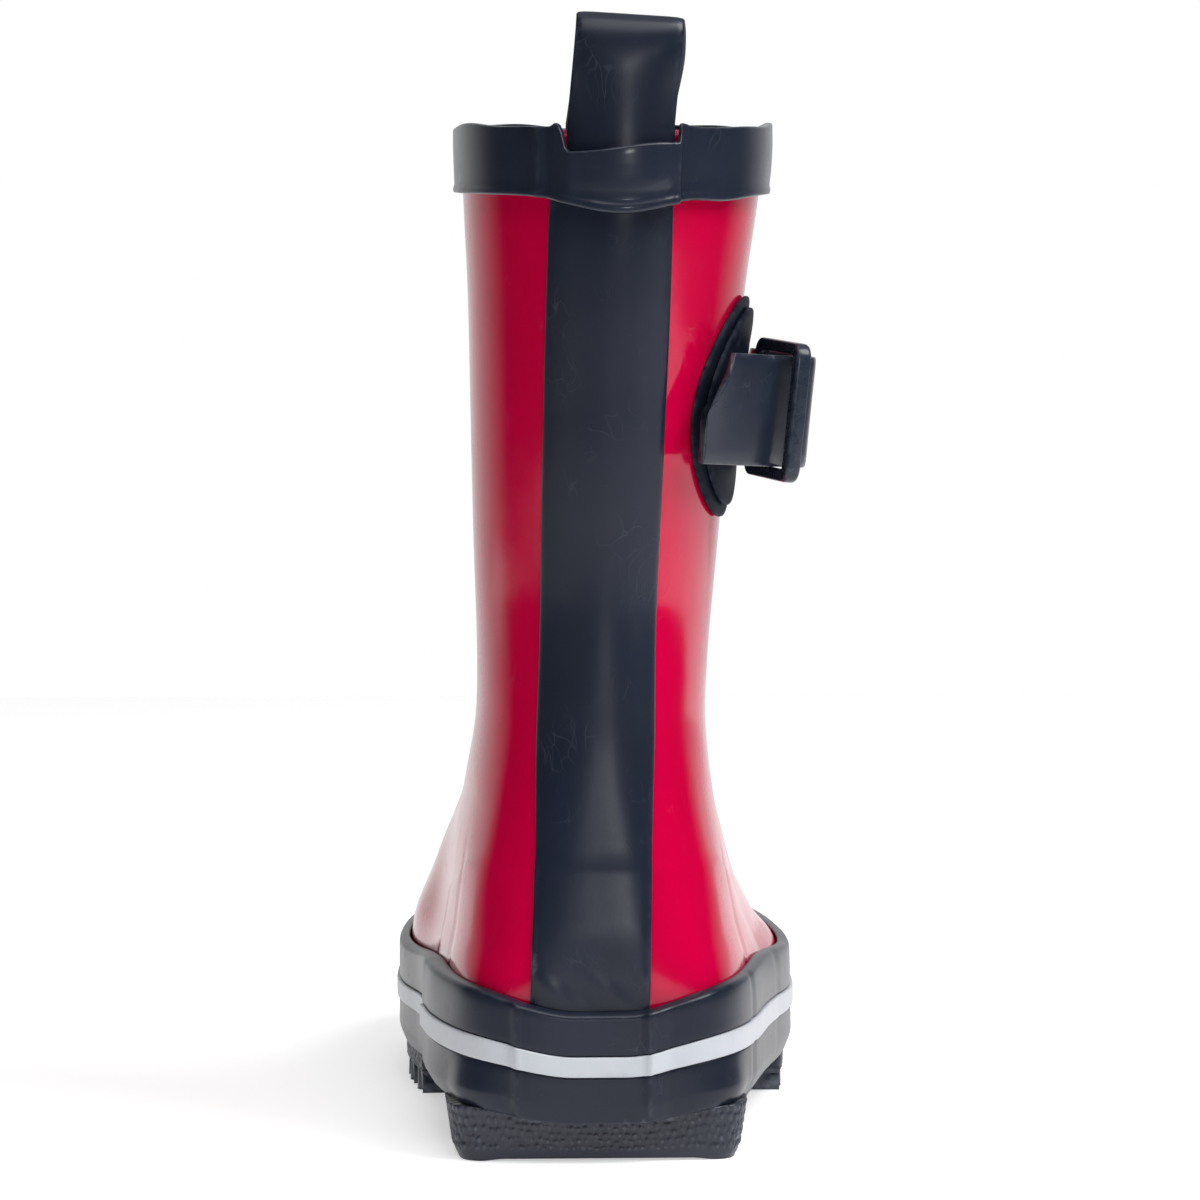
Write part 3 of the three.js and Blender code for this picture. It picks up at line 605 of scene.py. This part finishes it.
def makeBinding():
    low, top, foot = binding["low"], binding["high"], binding["foot"]
    out = foot + binding["thick"]
    edge = out + binding["hem"]
    corners = [(foot, low), (edge, low), (edge, low + 1.0), (out - 0.05, low + 1.6), (out, 205), (out, top),
               (foot + 0.05, top)]
    section = denser(roundedLoop(corners, 0.6, 4), 0.9)
    lift, height = section[:, 0][:, None], section[:, 1][:, None]
    turn = turns[None, :]
    p = shellPoint(200, turn)
    x = p[..., 0] - loop["x"]
    atBack = p[..., 1] < 40
    dip = np.where(atBack, bindingDip(x), 0)
    lip = np.where(atBack, 1 - ramp(9.3, 10.8, np.abs(x - 0.2)), 0)
    outerSag = np.where(atBack & (x > 0), binding["sag"] * bump(20, 6, x), 0)
    z = height - (dip + outerSag) * (1 - ramp(low, low + 6, height))
    z = z - lip * (binding["lipDrop"] - 0.05 * x) * ramp(low + 4, shell["rim"], height)
    nearTop = ramp(204, 209, height)
    z = z + nearTop * (0.4 * np.sin(turn * 5 + 0.6) + 0.25 * np.sin(turn * 9))
    z = z + nearTop * np.where(atBack, 0.9 * bump(-11.6, 1.1, x) + 0.3 * bump(11.5, 1.0, x), 0)
    points = offTop(z, turn, lift + bindingRelief(turn, z, lift))
    return closedGrid("rimBinding", points, True, slot="navy_rubber", nodes=["top_binding"])


def makePullLoop():
    rimY = float(shellPoint(shell["rim"], 0.01)[1])
    outerY, innerY = rimY - loop["outerLift"], rimY + loop["innerDepth"]
    middle, reach = (outerY + innerY) / 2, (innerY - outerY) / 2
    angles = np.linspace(0, math.pi, 46)
    over = np.stack([middle - reach * (1 + loop["belly"] * np.sin(angles)) * np.cos(angles),
                     loop["base"] + loop["rise"] * np.sin(angles) ** 0.6], axis=1)
    bottom = loop["base"] - 0.6
    up = [(outerY, z) for z in np.linspace(loop["outerEnd"], bottom, 12)]
    down = [(float(shellPoint(min(z, shell["rim"]), 0.01)[1]) + loop["innerDepth"], z)
            for z in np.linspace(bottom, loop["innerEnd"], 12)]
    path = np.concatenate([up, over, down])
    run = np.gradient(path, axis=0)
    run /= np.linalg.norm(run, axis=1, keepdims=True)
    normal = np.stack([run[:, 1], -run[:, 0]], axis=1)
    section = denser(roundedLoop([(-1, -0.5), (1, -0.5), (1, 0.5), (-1, 0.5)], 0.3, 3), 0.12)
    u, depth = section[:, 0][None, :], section[:, 1][None, :] * loop["thick"]
    above = np.maximum(path[:, 1] - loop["base"], 0)[:, None]
    follow = 1 - 0.8 * ramp(0, loop["rise"], above)  # curved like the rim at its foot, nearly flat at its top
    across = u * loop["half"] + 0 * above
    rimTurn = backTurn(shell["rim"], loop["x"] + across)
    curve = shellPoint(shell["rim"], rimTurn)[..., 1] - rimY
    share = np.linspace(0, 1, len(path))[:, None]
    x = loop["x"] + across + loop["lean"] * above + 1.1 * ramp(0.45, 0.75, share) * ramp(0, 14, above)
    bend = loop["twist"] * np.sin(above / 6.0) * u
    y = path[:, 0][:, None] + normal[:, 0][:, None] * depth + follow * curve + bend
    z = path[:, 1][:, None] + normal[:, 1][:, None] * depth - 0.003 * across * above
    points = np.stack([x, y, z], axis=-1)
    band = closedGrid("pullLoopBand", points, False, body=None, slot="navy_rubber",
                      nodes=["pull_loop", "loop_outer_end", "loop_inner_end"])
    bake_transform(band)
    return band


# Side patch, buckle and strap

patch = {"y": 37.5, "z": 151.8, "radius": 22.8, "raisedRadius": 20.4, "foot": 0.4, "raisedFoot": 1.55,
         "thick": 0.9, "edge": 0.45, "sides": 96}
strap = {
    "half": 11.4, "thick": 1.6, "lean": math.radians(5.7), "origin": (33.0, 37.0, 151.8),
    "cut": 7.2, "tailLong": 16, "curl": 0.54,
    "path": ((33.6, 58.5), (34.4, 55), (39.4, 47.4), (43.9, 39.5), (44, 33.5), (41.6, 29.8), (38.9, 27.2),
             (35.4, 22.4), (28.6, 15.2), (25.4, 11.8), (21.4, 7.4)),  # seen from above, anchor to tail
    "holds": (44.0, 39.0), "slides": (38.6, 27.0),  # two points along the strap's path
}
buckle = {
    "inner": (34.4, 43.2), "outer": (41.0, 22.6), "high": 14.3, "bar": 2.5, "wide": 4.0, "thick": 2.2,
    "holder": ((33.1, 45.8), (33.1, 51), (34.6, 51), (37.4, 47.4), (37.6, 41.9), (36.7, 41.4), (36.6, 45.8)),
    "holderHalf": 8.5,
}


def makeDisc(name, radius, low, node):
    angle = np.arange(patch["sides"]) * 2 * math.pi / patch["sides"]
    high, edge = low + patch["thick"], patch["edge"]
    rows = [(share, low) for share in (0.12, 0.4, 0.7, 0.9)]
    rows += [(1 - 0.1 / radius, low), (1.0, low + 0.15), (1.0, high - edge)]
    rows += [(1 - edge * (1 - math.cos(a)) / radius, high - edge * (1 - math.sin(a)))
             for a in (0.5, 1.0, 1.57)]
    rows += [(1 - inset / radius, high + rise) for inset, rise in ((1.6, 0.05), (2.2, -0.12), (3.2, -0.12))]
    rows += [(share, high - 0.1) for share in (0.7, 0.45, 0.2, 0.05)]
    points = []
    for share, lift in rows:
        y = patch["y"] + radius * share * np.cos(angle)
        z = patch["z"] + radius * share * np.sin(angle)
        points.append(np.stack([sideX(y, z) + lift, y, z], axis=-1))
    return closedGrid(name, np.array(points), False, slot="navy_rubber", nodes=[node])


def fromStrap(points):  # from the strap's own leaning frame to the boot
    c, s = math.cos(strap["lean"]), math.sin(strap["lean"])
    p = np.asarray(points, float)
    out = np.empty_like(p)
    out[..., 0] = strap["origin"][0] + p[..., 0] * c + p[..., 2] * s
    out[..., 1] = strap["origin"][1] + p[..., 1]
    out[..., 2] = strap["origin"][2] - p[..., 0] * s + p[..., 2] * c
    return out


def inPlan(x, y, *height):  # from the boot's plan to the strap's own frame
    return (x - strap["origin"][0], y - strap["origin"][1]) + height


def smoothPath(spots, count):  # Catmull-Rom through plan points, equally spaced
    spots = np.array(spots, float)
    padded = np.vstack([2 * spots[0] - spots[1], spots, 2 * spots[-1] - spots[-2]])
    out = []
    for i in range(1, len(padded) - 2):
        p0, p1, p2, p3 = padded[i - 1:i + 3]
        for t in np.linspace(0, 1, 24, endpoint=False):
            out.append(0.5 * (2 * p1 + (p2 - p0) * t + (2 * p0 - 5 * p1 + 4 * p2 - p3) * t ** 2
                              + (3 * p1 - p0 - 3 * p2 + p3) * t ** 3))
    out = np.array(out + [spots[-1]])
    length = np.concatenate([[0], np.cumsum(np.linalg.norm(np.diff(out, axis=0), axis=1))])
    s = np.linspace(0, length[-1], count)
    return np.stack([np.interp(s, length, out[:, i]) for i in range(2)], axis=1), s


def makeStrap():
    path, s = smoothPath([inPlan(*spot) for spot in strap["path"]], 150)
    section = denser(roundedLoop([(-1, -0.5), (1, -0.5), (1, 0.5), (-1, 0.5)], 0.22, 3), 0.07)
    v, depth = section[:, 0][None, :], section[:, 1][None, :] * strap["thick"]
    total = s[-1]
    corner = -0.06  # the tail is longest a little below its middle
    above = np.clip((v - corner) / (1 - corner), 0, 1)
    below = np.clip(corner - v, 0, 1)
    cut = np.where(v > corner, strap["cut"] * (1 - (1 - above) ** 2), 1.2 * below)
    tail = np.clip((s[:, None] - total) / strap["tailLong"] + 1, 0, 1)
    reach = s[:, None] - tail * cut
    x = np.interp(reach, s, path[:, 0])
    y = np.interp(reach, s, path[:, 1])
    dx = np.interp(reach + 0.4, s, path[:, 0]) - np.interp(reach - 0.4, s, path[:, 0])
    dy = np.interp(reach + 0.4, s, path[:, 1]) - np.interp(reach - 0.4, s, path[:, 1])
    size = np.hypot(dx, dy) + 1e-9
    nx, ny = -dy / size, dx / size
    sag = 0.25 * np.sin(reach / 9.0) * (v ** 2)
    aside = depth + sag + strap["curl"] * ramp(total - 12, total, reach) * v
    points = np.stack([x + nx * aside, y + ny * aside, v * strap["half"] + 0 * reach], axis=-1)
    band = closedGrid("sideStrap", fromStrap(points), False, body=None, slot="navy_rubber",
                      nodes=["strap", "strap_tail"])
    ends = toFrame(fromStrap([inPlan(*strap["holds"], 0), inPlan(*strap["slides"], 0)]))
    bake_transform(band)
    return band


def ringOutline(high, low, far, corner):  # rounded rectangle, its corners in four quarter turns
    steps = 8
    spots = [(far - corner, high - corner, 0), (low + corner, high - corner, 1),
             (low + corner, -high + corner, 2), (far - corner, -high + corner, 3)]
    out = []
    for u, v, quarter in spots:
        for k in range(steps + 1):
            angle = (quarter + k / steps) * math.pi / 2
            out.append((u + corner * math.cos(angle), v + corner * math.sin(angle)))
    return np.array(out)


def makeBuckle():
    inner, outer = np.array(inPlan(*buckle["inner"])), np.array(inPlan(*buckle["outer"]))
    length = float(np.linalg.norm(outer - inner))
    halfBar, far = 1.6, length + 2
    outside = ringOutline(buckle["high"], -halfBar, far, 3.2)
    inside = ringOutline(buckle["high"] - buckle["bar"], halfBar, far - buckle["wide"], 1.2)
    section = roundedLoop([(0, -0.5), (1, -0.5), (1, 0.5), (0, 0.5)], 0.24, 4)
    a, b = section[:, 0][:, None, None], section[:, 1][:, None]
    flat = inside[None] + (outside - inside)[None] * a
    reach, up = flat[..., 0], flat[..., 1]
    depth = b * buckle["thick"] * (1 + 0.5 * ramp(length - 3, length + 1, reach))  # thicker at the outer bar
    direction = (outer - inner) / length
    side = np.array([-direction[1], direction[0]])
    points = np.stack([inner[0] + direction[0] * reach + side[0] * depth,
                       inner[1] + direction[1] * reach + side[1] * depth, up], axis=-1)
    ring = closedGrid("buckleRing", fromStrap(points), True, body="buckle", slot="navy_moulded",
                      nodes=["buckle_frame"])
    outline = denser(roundedLoop([inPlan(*spot) for spot in buckle["holder"]], 0.5, 3), 0.8)
    top, bevel = buckle["holderHalf"], 0.3
    rows = prism(outline, ((0.35, -top), (0, bevel - top), (0, top - bevel), (0.35, top)))
    holder = closedGrid("buckleHolder", fromStrap(rows), False, slot="navy_rubber", nodes=["buckle_holder"])
    return ring, holder


# Shader groups

def newGroup(name, inputs, outputs):
    group = bpy.data.node_groups.new(name, "ShaderNodeTree")
    for label, value in inputs.items():
        kind = "NodeSocketFloat" if isinstance(value, float) else "NodeSocketColor"
        socket = group.interface.new_socket(name=label, in_out="INPUT", socket_type=kind)
        socket.default_value = value
    for label in outputs:
        kind = "NodeSocketColor" if label == "Color" else "NodeSocketFloat"
        group.interface.new_socket(name=label, in_out="OUTPUT", socket_type=kind)
    start = group.nodes.new("NodeGroupInput")
    end = group.nodes.new("NodeGroupOutput")
    return group, start, end


def feed(tree, node, inputs):  # link what comes from another node, set what is a plain value
    for key, value in inputs.items():
        if isinstance(value, bpy.types.NodeSocket):
            tree.links.new(value, node.inputs[key])
        else:
            node.inputs[key].default_value = value
    return node


def addNode(tree, kind, inputs=None, **settings):  # a new node with its settings and inputs
    node = tree.nodes.new(kind)
    for key, value in settings.items():
        setattr(node, key, value)
    return feed(tree, node, inputs or {})


def noise(tree, where, scale, detail, **more):
    inputs = {"Vector": where, "Scale": scale, "Detail": detail, **more}
    return addNode(tree, "ShaderNodeTexNoise", inputs).outputs["Fac"]


def mixColors(tree, factor, first, second, blend="MIX"):  # inputs 6 and 7 and output 2 are the colours
    node = addNode(tree, "ShaderNodeMix", {0: factor, 6: first, 7: second},
                   data_type="RGBA", blend_type=blend)
    return node.outputs[2]


def doMath(tree, operation, first, second=0.0, clamp=False):
    node = addNode(tree, "ShaderNodeMath", {0: first, 1: second}, operation=operation, use_clamp=clamp)
    return node.outputs[0]


def spread(tree, value, low, high, toLow=0.0, toHigh=1.0):
    node = addNode(tree, "ShaderNodeMapRange", {"Value": value, "From Min": low, "From Max": high,
                                                "To Min": toLow, "To Max": toHigh})
    return node.outputs["Result"]


def makeMottleGroup():  # uneven pigment and gloss of cured rubber, with a faint skin texture
    group, start, end = newGroup("rubberMottle", {
        "Color": (0.5, 0.5, 0.5, 1), "Deep": (0.3, 0.3, 0.3, 1), "Amount": 0.3, "Gloss": 0.3,
        "Grain Size": 2200.0}, ("Color", "Roughness", "Height"))
    given = start.outputs
    where = addNode(group, "ShaderNodeTexCoord").outputs["Object"]
    broad = noise(group, where, 38.0, 3.0, Roughness=0.55)
    fine = noise(group, where, given["Grain Size"], 2.0, Roughness=0.5)
    upright = addNode(group, "ShaderNodeMapping", {"Vector": where, "Scale": (1, 1, 0.12)}).outputs[0]
    streak = noise(group, upright, 260.0, 2.0)
    mask = doMath(group, "MULTIPLY", spread(group, broad, 0.35, 0.68), given["Amount"])
    color = mixColors(group, mask, given["Color"], given["Deep"])
    streakMask = doMath(group, "MULTIPLY", spread(group, streak, 0.5, 0.75), 0.18)
    gloss = doMath(group, "ADD", given["Gloss"], spread(group, broad, 0.3, 0.7, -0.02, 0.035))
    gloss = doMath(group, "ADD", gloss, spread(group, fine, 0.3, 0.7, -0.01, 0.015), clamp=True)
    feed(group, end, {"Color": mixColors(group, streakMask, color, given["Deep"]), "Roughness": gloss,
                      "Height": fine})
    return group


def makeScuffGroup():  # thin rubbed lines and specks of dust on the surface
    group, start, end = newGroup("scuffs", {"Density": 0.5, "Size": 300.0}, ("Lines", "Specks"))
    given = start.outputs
    where = addNode(group, "ShaderNodeTexCoord").outputs["Object"]
    bend = addNode(group, "ShaderNodeTexNoise", {"Vector": where, "Scale": 55.0, "Detail": 2.0})
    stretched = addNode(group, "ShaderNodeMapping", {
        "Vector": mixColors(group, 0.025, where, bend.outputs["Color"], "ADD"), "Scale": (1.0, 1.0, 0.16),
        "Rotation": (0.2, 0.15, 0.4)})
    cells = addNode(group, "ShaderNodeTexVoronoi", {"Vector": stretched.outputs[0], "Scale": given["Size"]},
                    feature="DISTANCE_TO_EDGE")
    patchy = spread(group, noise(group, where, 90.0, 3.0), 0.55, 0.72)
    line = spread(group, cells.outputs["Distance"], 0.0, 0.028, 1.0, 0.0)
    line = doMath(group, "MULTIPLY", doMath(group, "MULTIPLY", line, patchy), given["Density"], True)
    dots = addNode(group, "ShaderNodeTexVoronoi", {"Vector": where, "Scale": 900.0})
    dot = spread(group, dots.outputs["Distance"], 0.05, 0.13, 1.0, 0.0)
    chance = addNode(group, "ShaderNodeSeparateColor", {"Color": dots.outputs["Color"]}).outputs[0]
    dot = doMath(group, "MULTIPLY", dot, spread(group, chance, 0.95, 0.99))
    feed(group, end, {"Lines": line, "Specks": doMath(group, "MULTIPLY", dot, given["Density"], True)})
    return group


def makeEdgeGroup():  # paler, duller rubber along rubbed edges
    group, start, end = newGroup("edgeWear", {
        "Color": (0.5, 0.5, 0.5, 1), "Worn": (0.7, 0.7, 0.7, 1), "Amount": 0.4}, ("Color", "Mask"))
    given = start.outputs
    where = addNode(group, "ShaderNodeTexCoord").outputs["Object"]
    edge = spread(group, addNode(group, "ShaderNodeNewGeometry").outputs["Pointiness"], 0.515, 0.58)
    ragged = spread(group, noise(group, where, 420.0, 4.0), 0.4, 0.62)
    mask = doMath(group, "MULTIPLY", doMath(group, "MULTIPLY", edge, ragged), given["Amount"], True)
    feed(group, end, {"Color": mixColors(group, mask, given["Color"], given["Worn"]), "Mask": mask})
    return group


def makeKnitGroup():  # rows of small knitted loops, with painted shade in the low gaps between them
    group, start, end = newGroup("knit", {
        "Color": (0.5, 0.1, 0.2, 1), "Gap": (0.2, 0.02, 0.05, 1), "Loops": 900.0}, ("Color", "Height"))
    given = start.outputs
    where = addNode(group, "ShaderNodeTexCoord").outputs["Object"]
    size = addNode(group, "ShaderNodeVectorMath", {0: where, "Scale": given["Loops"]}, operation="SCALE")
    axes = addNode(group, "ShaderNodeSeparateXYZ", {0: size.outputs[0]}).outputs
    across = doMath(group, "ADD", axes[0], axes[1])
    wave = doMath(group, "SINE", doMath(group, "MULTIPLY", across, 4.0))
    rows = doMath(group, "SINE", doMath(group, "ADD", doMath(group, "MULTIPLY", axes[2], 3.0), wave))
    height = doMath(group, "MULTIPLY", spread(group, wave, -1, 1, 0.35, 1),
                    spread(group, rows, -1, 1, 0.3, 1))
    fuzz = doMath(group, "MULTIPLY", noise(group, where, 2600.0, 3.0), 0.35)
    height = doMath(group, "ADD", height, fuzz)
    # the low gaps between loops are painted darker, as shade falling in them
    color = mixColors(group, spread(group, height, 0.3, 1.0), given["Gap"], given["Color"])
    feed(group, end, {"Color": color, "Height": height})
    return group


groups = {"mottle": makeMottleGroup(), "scuff": makeScuffGroup(), "edge": makeEdgeGroup(),
          "knit": makeKnitGroup()}


# Materials

def newMaterial(name, **settings):
    material = bpy.data.materials.new(name)
    material.use_nodes = True
    tree = material.node_tree
    shader = feed(tree, tree.nodes["Principled BSDF"], {k.replace("_", " "): v for k, v in settings.items()})
    return material, tree, shader


def useGroup(tree, key, **inputs):
    node = tree.nodes.new("ShaderNodeGroup")
    node.node_tree = groups[key]
    return feed(tree, node, {label.replace("_", " "): value for label, value in inputs.items()})


def addBump(tree, shader, *heights):  # heights: (socket, strength, distance)
    normal = None
    for socket, strength, distance in heights:
        node = addNode(tree, "ShaderNodeBump",
                       {"Height": socket, "Strength": strength, "Distance": distance})
        if normal:
            tree.links.new(normal, node.inputs["Normal"])
        normal = node.outputs["Normal"]
    tree.links.new(normal, shader.inputs["Normal"])


def rubberMaterial(name, look):
    material, tree, shader = newMaterial(
        name, Coat_Weight=look["coat"], Coat_Roughness=look["coatRough"], Specular_IOR_Level=look["specular"],
        IOR=1.5)
    mottle = useGroup(tree, "mottle", Color=look["color"], Deep=look["deep"], Amount=look["mottle"],
                      Gloss=look["rough"], Grain_Size=look["grain"])
    scuff = useGroup(tree, "scuff", Density=look["scuff"], Size=look["scuffSize"])
    edge = useGroup(tree, "edge", Color=mottle.outputs["Color"], Worn=look["worn"], Amount=look["edge"])
    marks = doMath(tree, "MAXIMUM", scuff.outputs["Lines"], scuff.outputs["Specks"])
    color = mixColors(tree, doMath(tree, "MULTIPLY", marks, 0.35), edge.outputs["Color"], look["worn"])
    rough = doMath(tree, "ADD", mottle.outputs["Roughness"], doMath(tree, "MULTIPLY", marks, 0.25))
    rough = doMath(tree, "ADD", rough, doMath(tree, "MULTIPLY", edge.outputs["Mask"], 0.15), clamp=True)
    feed(tree, shader, {"Base Color": color, "Roughness": rough})
    where = addNode(tree, "ShaderNodeTexCoord").outputs["Object"]
    addBump(tree, shader, (noise(tree, where, look["dimpleScale"], 2.0), look["dimple"], 0.0012),
            (mottle.outputs["Height"], look["skin"], 0.00012), (marks, 0.25, 0.00008))
    return material


# "deep" is the darker pigment in the mottling, "worn" the colour of rubbed edges and marks.
redLook = {
    "color": (0.62, 0.0, 0.050, 1), "deep": (0.50, 0.0, 0.036, 1), "worn": (0.72, 0.10, 0.16, 1),
    "mottle": 0.5, "rough": 0.11, "grain": 1500.0, "scuff": 0.5, "scuffSize": 260.0, "edge": 0.25,
    "coat": 0.0, "coatRough": 0.06, "specular": 0.38, "dimple": 0.07, "dimpleScale": 45.0, "skin": 0.03,
}
navyLook = {
    "color": (0.0125, 0.0172, 0.0340, 1), "deep": (0.0095, 0.0130, 0.0235, 1),
    "worn": (0.105, 0.120, 0.150, 1), "mottle": 0.6, "rough": 0.30, "grain": 1800.0, "scuff": 0.7,
    "scuffSize": 320.0, "edge": 0.5, "coat": 0.06, "coatRough": 0.18, "specular": 0.30, "dimple": 0.14,
    "dimpleScale": 50.0, "skin": 0.08,
}
bindingLook = dict(navyLook, color=(0.0185, 0.0240, 0.0430, 1), deep=(0.0080, 0.0110, 0.0200, 1), rough=0.30,
                   coat=0.25, coatRough=0.12)
treadLook = dict(navyLook, color=(0.0230, 0.0275, 0.0450, 1), deep=(0.0120, 0.0150, 0.0270, 1), rough=0.36,
                 coat=0.0, edge=0.9, skin=0.3, specular=0.5)
patchLook = dict(bindingLook, color=(0.0100, 0.0135, 0.0240, 1), rough=0.5, coat=0.0, specular=0.03)
mouldedLook = dict(navyLook, color=(0.0240, 0.0320, 0.0530, 1), rough=0.26, coat=0.2, coatRough=0.1,
                   dimple=0.05, scuff=0.15)
paleLook = {
    "color": (0.61, 0.635, 0.68, 1), "deep": (0.53, 0.56, 0.62, 1), "worn": (0.42, 0.44, 0.50, 1),
    "mottle": 0.5, "rough": 0.38, "grain": 1900.0, "scuff": 0.6, "scuffSize": 400.0, "edge": 0.3, "coat": 0.1,
    "coatRough": 0.2, "specular": 0.5, "dimple": 0.25, "dimpleScale": 160.0, "skin": 0.25,
}


def knitMaterial(name, color, gapShadeColor, loops):
    material, tree, shader = newMaterial(name, Roughness=0.95, Sheen_Weight=0.35, Sheen_Roughness=0.5)
    knit = useGroup(tree, "knit", Color=color, Gap=gapShadeColor, Loops=loops)
    # the gap colour is painted shade for the gaps between the knitted loops
    tree.links.new(knit.outputs["Color"], shader.inputs["Base Color"])
    addBump(tree, shader, (knit.outputs["Height"], 0.6, 0.0003))
    return material


def boardMaterial(name, color, dark, scale):  # felted or foamed inner layers
    material, tree, shader = newMaterial(name, Roughness=0.92)
    where = addNode(tree, "ShaderNodeTexCoord").outputs["Object"]
    fibre = noise(tree, where, scale, 5.0, Roughness=0.7)
    tree.links.new(mixColors(tree, fibre, dark, color), shader.inputs["Base Color"])
    addBump(tree, shader, (fibre, 0.5, 0.0003))
    return material


materials = {
    "red": rubberMaterial("redRubber", redLook),
    "navy": rubberMaterial("navyRubber", navyLook),
    "binding": rubberMaterial("bindingRubber", bindingLook),
    "patch": rubberMaterial("patchRubber", patchLook),
    "tread": rubberMaterial("treadRubber", treadLook),
    "moulded": rubberMaterial("mouldedPlastic", mouldedLook),
    "pale": rubberMaterial("paleRubber", paleLook),
    # the second colour is the painted shade in the knit's gaps
    "knit": knitMaterial("redKnit", (0.50, 0.012, 0.070, 1), (0.24, 0.005, 0.034, 1), 1900.0),
    "board": boardMaterial("feltBoard", (0.42, 0.34, 0.25, 1), (0.26, 0.20, 0.14, 1), 900.0),
    "sponge": boardMaterial("spongeRubber", (0.12, 0.125, 0.135, 1), (0.05, 0.05, 0.06, 1), 1500.0),
    "canvas": boardMaterial("stiffCanvas", (0.70, 0.64, 0.52, 1), (0.48, 0.42, 0.33, 1), 1200.0),
}


def wear(piece, key):
    piece.data.materials.clear()
    piece.data.materials.append(materials[key])


# Making the boot

wear(makeShell(), "red")
wear(makeLining(), "knit")
wear(makeFootbed(), "knit")
print("shell, lining and footbed made")

band, stripe = makeFoxing()
wear(band, "navy")
wear(stripe, "pale")
wear(makeHeelBlock(), "tread")
wear(makeTread(), "tread")
print("foxing, stripe and sole made")

wear(makeBackStrip(), "navy")
wear(makeBinding(), "binding")
wear(makePullLoop(), "navy")
print("back strip, binding and pull loop made")

wear(makeDisc("patchDisc", patch["radius"], patch["foot"], "patch_base"), "patch")
wear(makeDisc("patchRaisedDisc", patch["raisedRadius"], patch["raisedFoot"], "patch_overlay"), "patch")
ring, holder = makeBuckle()
wear(ring, "moulded")
wear(holder, "binding")
wear(makeStrap(), "binding")
print("side patch, buckle and strap made")

innerLayers = {"heel_counter": "canvas", "toe_cap": "canvas", "insole_board": "board",
               "sole_filler": "sponge"}
for node, key in innerLayers.items():  # hidden in the boot, kept as they come
    wear(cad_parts[node], key)
print("inner layers given their materials")


# Floor, light and camera

studio = {
    "floor": (0.80, 0.80, 0.81, 1), "grain": (0.95, 0.95, 0.95, 1), "floorGlow": 0.50,
    "glowOnBoot": (0.7, 0.7, 0.7, 1), "halfWide": 0.85, "near": -0.7, "far": 0.9,
    "behindCamera": 0.01, "around": 0.78,
    "turnsBright": (0.60, 0.97), "overhead": (0.7, 0.96),  # how far ahead or up a direction points
    "aim": (0, 0, 0.11),
    "lights": {  # name: place, size, power
        "topFront": ((0.05, -0.80, 1.25), (1.0, 0.8), 7.0),
        "topRight": ((0.80, -0.45, 1.10), (0.7, 0.7), 13.0),
        "heelSpark": ((0.24, -2.2, 0.32), (0.30, 0.14), 3.0),
    },
}


def makeFloor():
    mesh = bpy.data.meshes.new("floor")
    wide, near, far = studio["halfWide"], studio["near"], studio["far"]
    corners = [(-wide, near, 0), (wide, near, 0), (wide, far, 0), (-wide, far, 0)]
    mesh.from_pydata(corners, [], [(0, 1, 2, 3)])
    floor = bpy.data.objects.new("floor", mesh)
    scene.collection.objects.link(floor)
    material, tree, shader = newMaterial("floorPaper", Roughness=0.9, Emission_Strength=studio["floorGlow"])
    seen = addNode(tree, "ShaderNodeLightPath").outputs["Is Camera Ray"]
    glow = mixColors(tree, seen, studio["glowOnBoot"], (1, 1, 1, 1))
    where = addNode(tree, "ShaderNodeTexCoord").outputs["Object"]
    soft = spread(tree, noise(tree, where, 900.0, 2.0), 0.3, 0.7)
    paper = mixColors(tree, soft, studio["floor"], studio["grain"])
    feed(tree, shader, {"Emission Color": glow, "Base Color": paper})
    mesh.materials.append(material)


def makeSurroundings():  # white to the camera; on the boot, bright ahead and overhead and dark behind
    world = bpy.data.worlds.new("studio")
    scene.world = world
    world.use_nodes = True
    tree = world.node_tree
    direction = addNode(tree, "ShaderNodeTexCoord").outputs["Generated"]
    facing = addNode(tree, "ShaderNodeSeparateXYZ", {0: direction}).outputs
    ahead = spread(tree, facing[1], *studio["turnsBright"])
    above = spread(tree, facing[2], *studio["overhead"])
    brightest = doMath(tree, "MAXIMUM", ahead, above)
    level = spread(tree, brightest, 0, 1, studio["behindCamera"], studio["around"])
    seen = addNode(tree, "ShaderNodeLightPath").outputs["Is Camera Ray"]
    color = mixColors(tree, seen, level, (1, 1, 1, 1))
    feed(tree, tree.nodes["Background"], {"Color": color, "Strength": 1.0})


def makeLights():
    for name, (spot, size, power) in studio["lights"].items():
        light = bpy.data.lights.new(name, "AREA")
        light.shape = "RECTANGLE"
        light.size, light.size_y = size
        light.energy = power
        lamp = bpy.data.objects.new(name, light)
        lamp.location = spot
        aim = Vector(studio["aim"]) - Vector(spot)
        lamp.rotation_euler = aim.to_track_quat("-Z", "Y").to_euler()
        scene.collection.objects.link(lamp)


view = {"yaw": 2.5, "pitch": 4.53, "distance": 1200.0, "height": 209.8, "lens": 180.0, "sensor": 36.0,
        "reach": 20.0}


def makeCamera():
    yaw, pitch = math.radians(view["yaw"]), math.radians(view["pitch"])
    data = bpy.data.cameras.new("camera")
    data.lens = view["lens"]
    data.sensor_width = view["sensor"]
    data.clip_end = view["reach"]
    camera = bpy.data.objects.new("camera", data)
    spot = [(-view["distance"] * math.sin(yaw), -view["distance"] * math.cos(yaw), view["height"])]
    camera.location = toFrame(spot)[0]
    ahead = Vector((math.sin(yaw) * math.cos(pitch), math.cos(yaw) * math.cos(pitch), -math.sin(pitch)))
    camera.rotation_euler = ahead.to_track_quat("-Z", "Y").to_euler()
    scene.collection.objects.link(camera)
    scene.camera = camera


makeFloor()
makeSurroundings()
makeLights()
makeCamera()
scene.view_settings.view_transform = "Standard"
print("studio and camera set")
